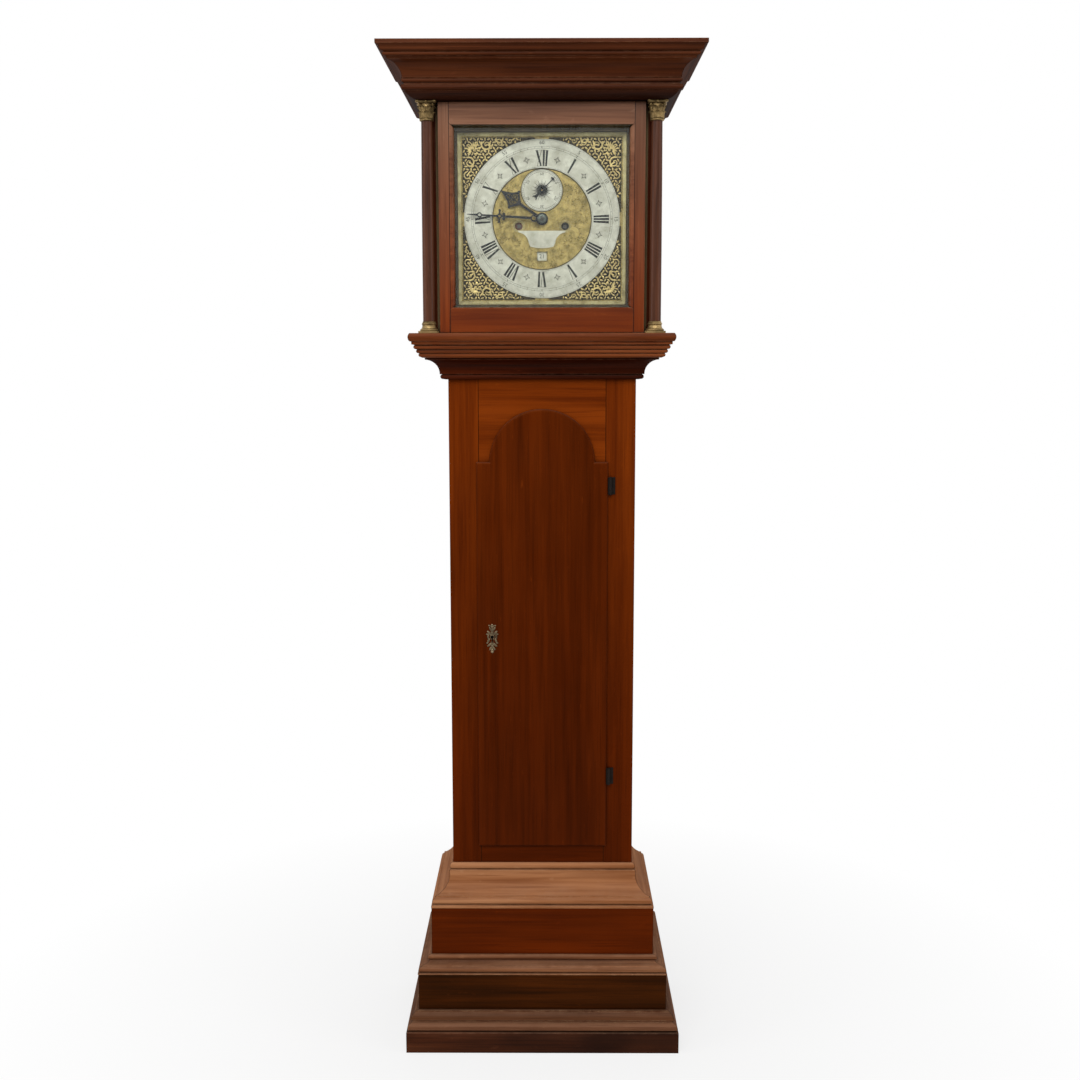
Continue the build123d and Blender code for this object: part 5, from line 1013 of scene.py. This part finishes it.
def make_corner_grounds():
    """A dark matted sheet behind the cast corners: painted shade that shows between their leaves."""
    edge, shapes = DIAL_HALF - CORNER_INSET * MM, []
    arc = [polar(CHAPTER_R + 0.2 * MM, 5 + 80 * k / 24) for k in range(25)]
    for right, top in ((1, 1), (1, -1), (-1, -1), (-1, 1)):
        shape = [(arc[0][0], edge)] + arc + [(edge, arc[-1][1]), (edge, edge)]
        shapes.append([(right * x, top * z) for x, z in shape])
    mesh = prisms("corner_grounds", shapes, 0.1 * MM, DIAL_FACE)
    add_to_dial("corner_grounds", mesh, painted_shade_matting)


def make_dust_strip():
    """A dark strip behind the edge of the dial, which closes the gap to the hood's mask."""
    mesh = square_frame(DIAL_HALF + 6 * MM, 8 * MM, 0.5 * MM, dial_high.y + 0.6 * MM)
    add_to_dial("dial_dust_strip", mesh, mask_oak)


def make_escutcheon():
    """A small cast plate: scrolls and leaves alike on both sides, and the keyhole through its boss."""
    low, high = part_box("escutcheon")
    middle, thick = (low + high) / 2, (high.y - low.y) / MM
    # Each leaf's middle, half-length, half-width and lean, in millimetres and radians
    lobes = [(0, 3, 4.6, 6.5, 0, 1.5), (0, 24, 3.4, 4.2, 0, 1.5), (0, -24, 3.2, 4.4, 0, 1.5),
             (0, 13, 3, 8, 0, 1.3), (0, -12, 3, 9, 0, 1.3)]
    for side in (-1, 1):
        for u, v, long, wide, lean in ((6, 11, 5.5, 2.3, 0.9), (7.6, 4, 4.6, 2.2, 1.7), (7, -4, 5, 2.2, -1.2),
                                       (5.4, -12, 5.5, 2.2, -0.7), (4, 19, 4.2, 1.9, 1.2),
                                       (3.6, -19, 4.2, 1.9, -1.1), (9.8, 8.6, 2.4, 1.6, 0),
                                       (9.4, -8.6, 2.4, 1.6, 0), (5.4, 25, 2.2, 1.6, 0.6)):
            lobes.append((side * u, v, long, wide, lean if side > 0 else math.pi - lean, 1.45))
    dome = ellipse_lobes(lobes)
    half, tall = (high.x - low.x) / 2 / MM, (high.z - low.z) / 2 / MM

    def height(u, v):
        x, z = u - half, v - tall
        in_keyhole = math.hypot(x, z - 3) < 3.0 or (abs(x) < 1.3 and -8 < z < 3)
        return 0.0 if in_keyhole else dome(x, z)

    def put(u, v, level):
        y = high.y - min(level, thick) * MM
        return Vector((middle.x + (u - half) * MM, y, middle.z + (v - tall) * MM))

    step = 0.32
    mesh = relief("cast_escutcheon", height_levels(height, 2 * half, 2 * tall, step), step, 0.2, put)
    add_piece("cast_escutcheon", mesh, "trunk_door", lock_brass, instead_of="escutcheon")


def turned_post(name, points, steps=48):
    """A closed turned shape about the Z axis, from (radius, z) points in millimetres between two tips."""
    build = bmesh.new()
    rows = []
    for radius, z in points:
        turns = full_turn(steps) if radius else [0.0]
        rows.append([build.verts.new((radius * MM * math.cos(a), radius * MM * math.sin(a), z * MM))
                     for a in turns])
    for row, after in zip(rows, rows[1:]):
        band(build, row, after)
    return merged_mesh(name, build)


def acanthus(tall, root, reach, wide, curl):
    """One leaf of the capital: it rises, leans out and curls over, with notched edges and a middle rib."""
    build = bmesh.new()
    ups, sides, grid = 14, 8, []
    for i in range(ups + 1):
        v = i / ups
        rise = tall * math.sin(min(v * 1.15, 1) * math.pi / 2) - curl * max(0, v - 0.8) * 2.5
        out = root + reach * v**2.2
        notch = 1 - 0.16 * abs(math.sin(v * 3.5 * math.pi))
        half = wide * (0.75 + 0.35 * math.sin(math.pi * v)) * (1 - 0.65 * v**4) * notch
        row = []
        for j in range(sides + 1):
            u = 2 * j / sides - 1
            fold = 0.5 * MM * math.cos(u * math.pi * 2.5) - 1.1 * MM * u * u
            row.append(build.verts.new((out + fold, u * half, rise)))
        grid.append(row)
    for a, b in zip(grid, grid[1:]):
        for j in range(sides):
            build.faces.new((a[j], a[j + 1], b[j + 1], b[j]))
    bmesh.ops.recalc_face_normals(build, faces=build.faces)
    bmesh.ops.solidify(build, geom=build.faces[:], thickness=0.8 * MM)
    return merged_mesh("leaf", build)


def volute():
    """The scroll under a corner of the abacus, seen from the side as a small spiral."""
    rows, steps, eye = [], 22, Vector((15.6 * MM, 0, 26.4 * MM))
    build = bmesh.new()
    for k in range(steps + 1):
        share = k / steps
        radius, angle = (3.4 - 2.5 * share) * MM, math.radians(110 - 520 * share)
        half, thick = (1.9 - 0.7 * share) * MM, 0.45 * MM
        out = Vector((math.cos(angle), 0, math.sin(angle)))
        rows.append([build.verts.new(eye + out * (radius + a) + Vector((0, b, 0)))
                     for a, b in ((-thick, -half), (thick, -half), (thick, half), (-thick, half))])
    for row, after in zip(rows, rows[1:]):
        band(build, row, after)
    build.faces.new(rows[0])
    build.faces.new(list(reversed(rows[-1])))
    return merged_mesh("volute", build)


def abacus(half, low, high, hollow):
    """A square slab with hollowed sides and clipped corners."""
    plan, end = [], half * 0.86
    for quarter in range(4):
        turn = Matrix.Rotation(math.pi / 2 * quarter, 2)
        for k in range(9):
            x = -end + 2 * end * k / 8
            plan.append(turn @ Vector((x, -half + hollow * (1 - (x / end) ** 2))))
    build = bmesh.new()
    foot = [build.verts.new((p.x, p.y, low)) for p in plan]
    head = [build.verts.new((p.x, p.y, high)) for p in plan]
    build.faces.new(list(reversed(foot)))
    build.faces.new(head)
    band(build, foot, head)
    return merged_mesh("abacus", build)


# Profiles of the columns' mounts as radius and height, in millimetres
BELL = [(0, 0), (11.6, 0), (12.6, 0.8), (12.6, 2.2), (11.4, 3), (10.6, 4), (11, 12), (12.4, 22), (14.4, 29),
        (0, 29.5)]
FLOWER = [(0, 0), (2.6, 0.6), (2.6, 1.8), (0, 2.6)]
ROUND_FOOT = [(0, 3.9), (15.9, 3.9), (16.6, 5), (16.6, 6.6), (15.8, 7.7), (14.6, 8.2), (13.4, 9.5),
              (12.6, 12), (12.3, 14.5), (12.8, 15.3), (13.3, 16), (13.3, 17.4), (12.6, 18.4), (11.9, 19),
              (11.9, 21), (0, 21)]
KNOT = [(0, 0.1), (1.9, 0.6), (2.5, 2), (2.2, 3.6), (1.2, 4.8), (0, 5.2)]


def make_column_mounts():
    """Brass bases and leafy capitals for the two columns of the hood."""
    low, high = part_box("column_brass_mounts")
    half, capital_tall = 18.5 * MM, 34 * MM
    y = (low.y + high.y) / 2
    upright = (0, 0, 1)
    for name, x in (("left", low.x + half), ("right", high.x - half)):
        parts = [turned_post("bell", BELL)]
        lower = acanthus(13.5 * MM, 11.2 * MM, 4.5 * MM, 4.1 * MM, 3 * MM)
        upper = acanthus(22.5 * MM, 11.2 * MM, 6.2 * MM, 4.3 * MM, 4 * MM)
        for leaf in (lower, upper):
            moved(leaf, Vector((0, 0, 3 * MM)))
        flower = turned_post("flower", FLOWER, 12)
        outwards = Matrix.Rotation(math.radians(90), 4, "Y")
        flower.transform(Matrix.Translation((14.5 * MM, 0, 31.5 * MM)) @ outwards)
        for kind, mesh, count, first in (("low_leaves", lower, 8, 0), ("high_leaves", upper, 8, 22.5),
                                         ("volutes", volute(), 4, 45)):
            parts.append(copies_round(kind, mesh, count, capital_brass, upright, math.radians(first)))
        parts.append(abacus(half, 30 * MM, 33.9 * MM, 4 * MM))
        parts.append(copies_round("flowers", flower, 4, capital_brass, upright))
        mesh = moved(joined(name + "_capital", parts), Vector((x, y, high.z - capital_tall)))
        add_piece(name + "_capital", mesh, "hood", capital_brass, True, "column_brass_mounts")
        parts = [turned_post("round_foot", ROUND_FOOT), abacus(half, 0.1 * MM, 4 * MM, 0.0)]
        mesh = moved(joined(name + "_column_base", parts), Vector((x, y, low.z)))
        add_piece(name + "_column_base", mesh, "hood", capital_brass,
                  instead_of="column_brass_mounts")


def make_collet():
    """The domed steel washer that keeps the hands on."""
    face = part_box("minute_hand")[0].y
    points = [(2.6, 0.0), (8.2, 0.0), (8.2, -0.4), (7.4, -0.9), (5.6, -1.3), (3.4, -1.5), (2.6, -1.5)]
    mesh = lathe("hand_collet", [(r * MM, face + y * MM) for r, y in points])
    add_to_dial("hand_collet", mesh, hub_steel, body="centre_arbor", smooth=True)


def tube(name, points, radius, sides=10):
    """A round line through points in the plane of the pulley."""
    build = bmesh.new()
    rows = []
    for k, point in enumerate(points):
        before, after = points[max(k - 1, 0)], points[min(k + 1, len(points) - 1)]
        along = (after - before).normalized()
        side = Vector((0, 1, 0))
        up = along.cross(side)
        rows.append([build.verts.new(point + radius * (side * math.cos(a) + up * math.sin(a)))
                     for a in full_turn(sides)])
    for row, after in zip(rows, rows[1:]):
        band(build, row, after)
    build.faces.new(rows[0])
    build.faces.new(rows[-1])
    return merged_mesh(name, build)


def make_lines():
    """Each gut line: the fall from the barrel, the turn under the pulley, and the rise to its knot."""
    barrel_z, knot_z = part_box("going_line")[1].z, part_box("seatboard")[1].z
    for name in ("going", "strike"):
        line, joint = name + "_line", name + "_weight_rise"
        front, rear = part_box(name + "_pulley")
        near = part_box(line)[0].x + LINE_R
        y, far = (front.y + rear.y) / 2, near + 2 * PULLEY_R
        for part, at, top in (("_fall", near, barrel_z), ("_return", far, knot_z)):
            long = top - PULLEY_Z
            points = [Vector((at, y, PULLEY_Z + long * k / 12)) for k in range(13)]
            piece = add_piece(line + part, tube(part, points, LINE_R), "case", gut_line, True, line)
            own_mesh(piece)
        turns = [math.pi * (1 + k / 24) for k in range(25)]
        points = [Vector((near + PULLEY_R * (1 + math.cos(a)), y, PULLEY_Z + PULLEY_R * math.sin(a)))
                  for a in turns]
        add_piece(line + "_turn", tube("turn", points, LINE_R), name + "_weight", gut_line, True)
        knot = moved(turned_post("knot", KNOT, 16), Vector((far, y, knot_z)))
        add_piece(line + "_knot", knot, "case", gut_line, True)


engrave_chapter_ring()
engrave_seconds()
engrave_dates()
trim_dial()
engrave_dial_centre()
make_corner_grounds()
make_spandrels()
make_dust_strip()
make_escutcheon()
make_column_mounts()
make_collet()
make_lines()


# Camera, as it stood for the photograph, light and floor

CAMERA_AT, LENS, SENSOR = (0.0103, -2.433, 1.308), 42.9, 36
CAMERA_YAW, CAMERA_PITCH, CAMERA_ROLL = math.radians(-0.345), math.radians(7.86), math.radians(0.055)
FLOOR_R = 1.25


def set_camera():
    camera = put_in_scene("camera", bpy.data.cameras.new("camera"))
    camera.data.lens = LENS
    camera.data.sensor_width = SENSOR
    camera.location = CAMERA_AT
    level = Euler((math.radians(90) - CAMERA_PITCH, 0, -CAMERA_YAW)).to_matrix()
    camera.rotation_euler = (level @ Matrix.Rotation(-CAMERA_ROLL, 3, "Z")).to_euler()
    bpy.context.scene.camera = camera


def softbox(name, where, aim, wide, tall, power):
    light = bpy.data.lights.new(name, "AREA")
    light.shape = "RECTANGLE"
    light.size, light.size_y = wide, tall
    light.energy = power
    lamp = put_in_scene(name, light)
    lamp.location = where
    lamp.rotation_euler = (Vector(aim) - Vector(where)).to_track_quat("-Z", "Y").to_euler()


def looking_rays(tree):
    """What the camera sees, straight or through glass; returned with the other kinds of ray."""
    path = place(tree, "ShaderNodeLightPath").outputs
    return maths(tree, "MAXIMUM", path["Is Camera Ray"], path["Is Transmission Ray"]), path


def set_world():
    """A white studio, which metal and glass see as pale above and behind, and dim below."""
    world = bpy.data.worlds.new("studio")
    bpy.context.scene.world = world
    world.use_nodes = True
    tree = world.node_tree
    tree.nodes.clear()
    seen, path = looking_rays(tree)
    generated = place(tree, "ShaderNodeTexCoord").outputs["Generated"]
    direction = place(tree, "ShaderNodeSeparateXYZ", {0: generated})
    above = stretch(tree, direction.outputs[2], 0.0, 0.35, 0.04, 0.75)
    behind = stretch(tree, direction.outputs[1], -0.1, 0.3)
    mirrored = maths(tree, "MAXIMUM", above, behind)
    glossy = maths(tree, "MULTIPLY", path["Is Glossy Ray"], mirrored)
    diffuse = maths(tree, "MULTIPLY", maths(tree, "SUBTRACT", 1.0, path["Is Glossy Ray"]), 0.4)
    strength = maths(tree, "MAXIMUM", seen, maths(tree, "ADD", glossy, diffuse))
    back = place(tree, "ShaderNodeBackground", {"Color": (1, 1, 1, 1), "Strength": strength})
    place(tree, "ShaderNodeOutputWorld", {"Surface": back.outputs[0]})


def set_lamps():
    softbox("overhead_front", (-0.5, -3.0, 3.6), (0, 0, 1.1), 3.6, 2.2, 96)
    softbox("left_fill", (-3.2, -1.2, 1.8), (0, 0, 1.0), 1.6, 2.6, 24)
    softbox("right_fill", (3.2, -1.2, 1.8), (0, 0, 1.0), 1.6, 2.6, 20)


def lay_floor():
    """A white floor that keeps the clock's shadow near it."""
    build = bmesh.new()
    bmesh.ops.create_circle(build, cap_ends=True, radius=FLOOR_R, segments=96)
    floor = put_in_scene("floor", plain_mesh("floor", build))
    material, tree, surface, coords = new_material("pale_floor", {
        "Base Color": (0.86, 0.86, 0.85, 1), "Roughness": 0.9, "Specular IOR Level": 0.1,
    })
    away = place(tree, "ShaderNodeVectorMath", {0: coords}, operation="LENGTH").outputs["Value"]
    share = stretch(tree, away, 0.3, 1.2, 0.75, 1.0)
    seen, path = looking_rays(tree)
    share = maths(tree, "MULTIPLY", share, maths(tree, "MAXIMUM", seen, path["Is Glossy Ray"]))
    show_mixed(tree, surface, share, place(tree, "ShaderNodeEmission", {"Strength": 1.0}))
    floor.data.materials.append(material)


set_camera()
set_world()
set_lamps()
lay_floor()
bpy.context.scene.view_settings.view_transform = "Standard"
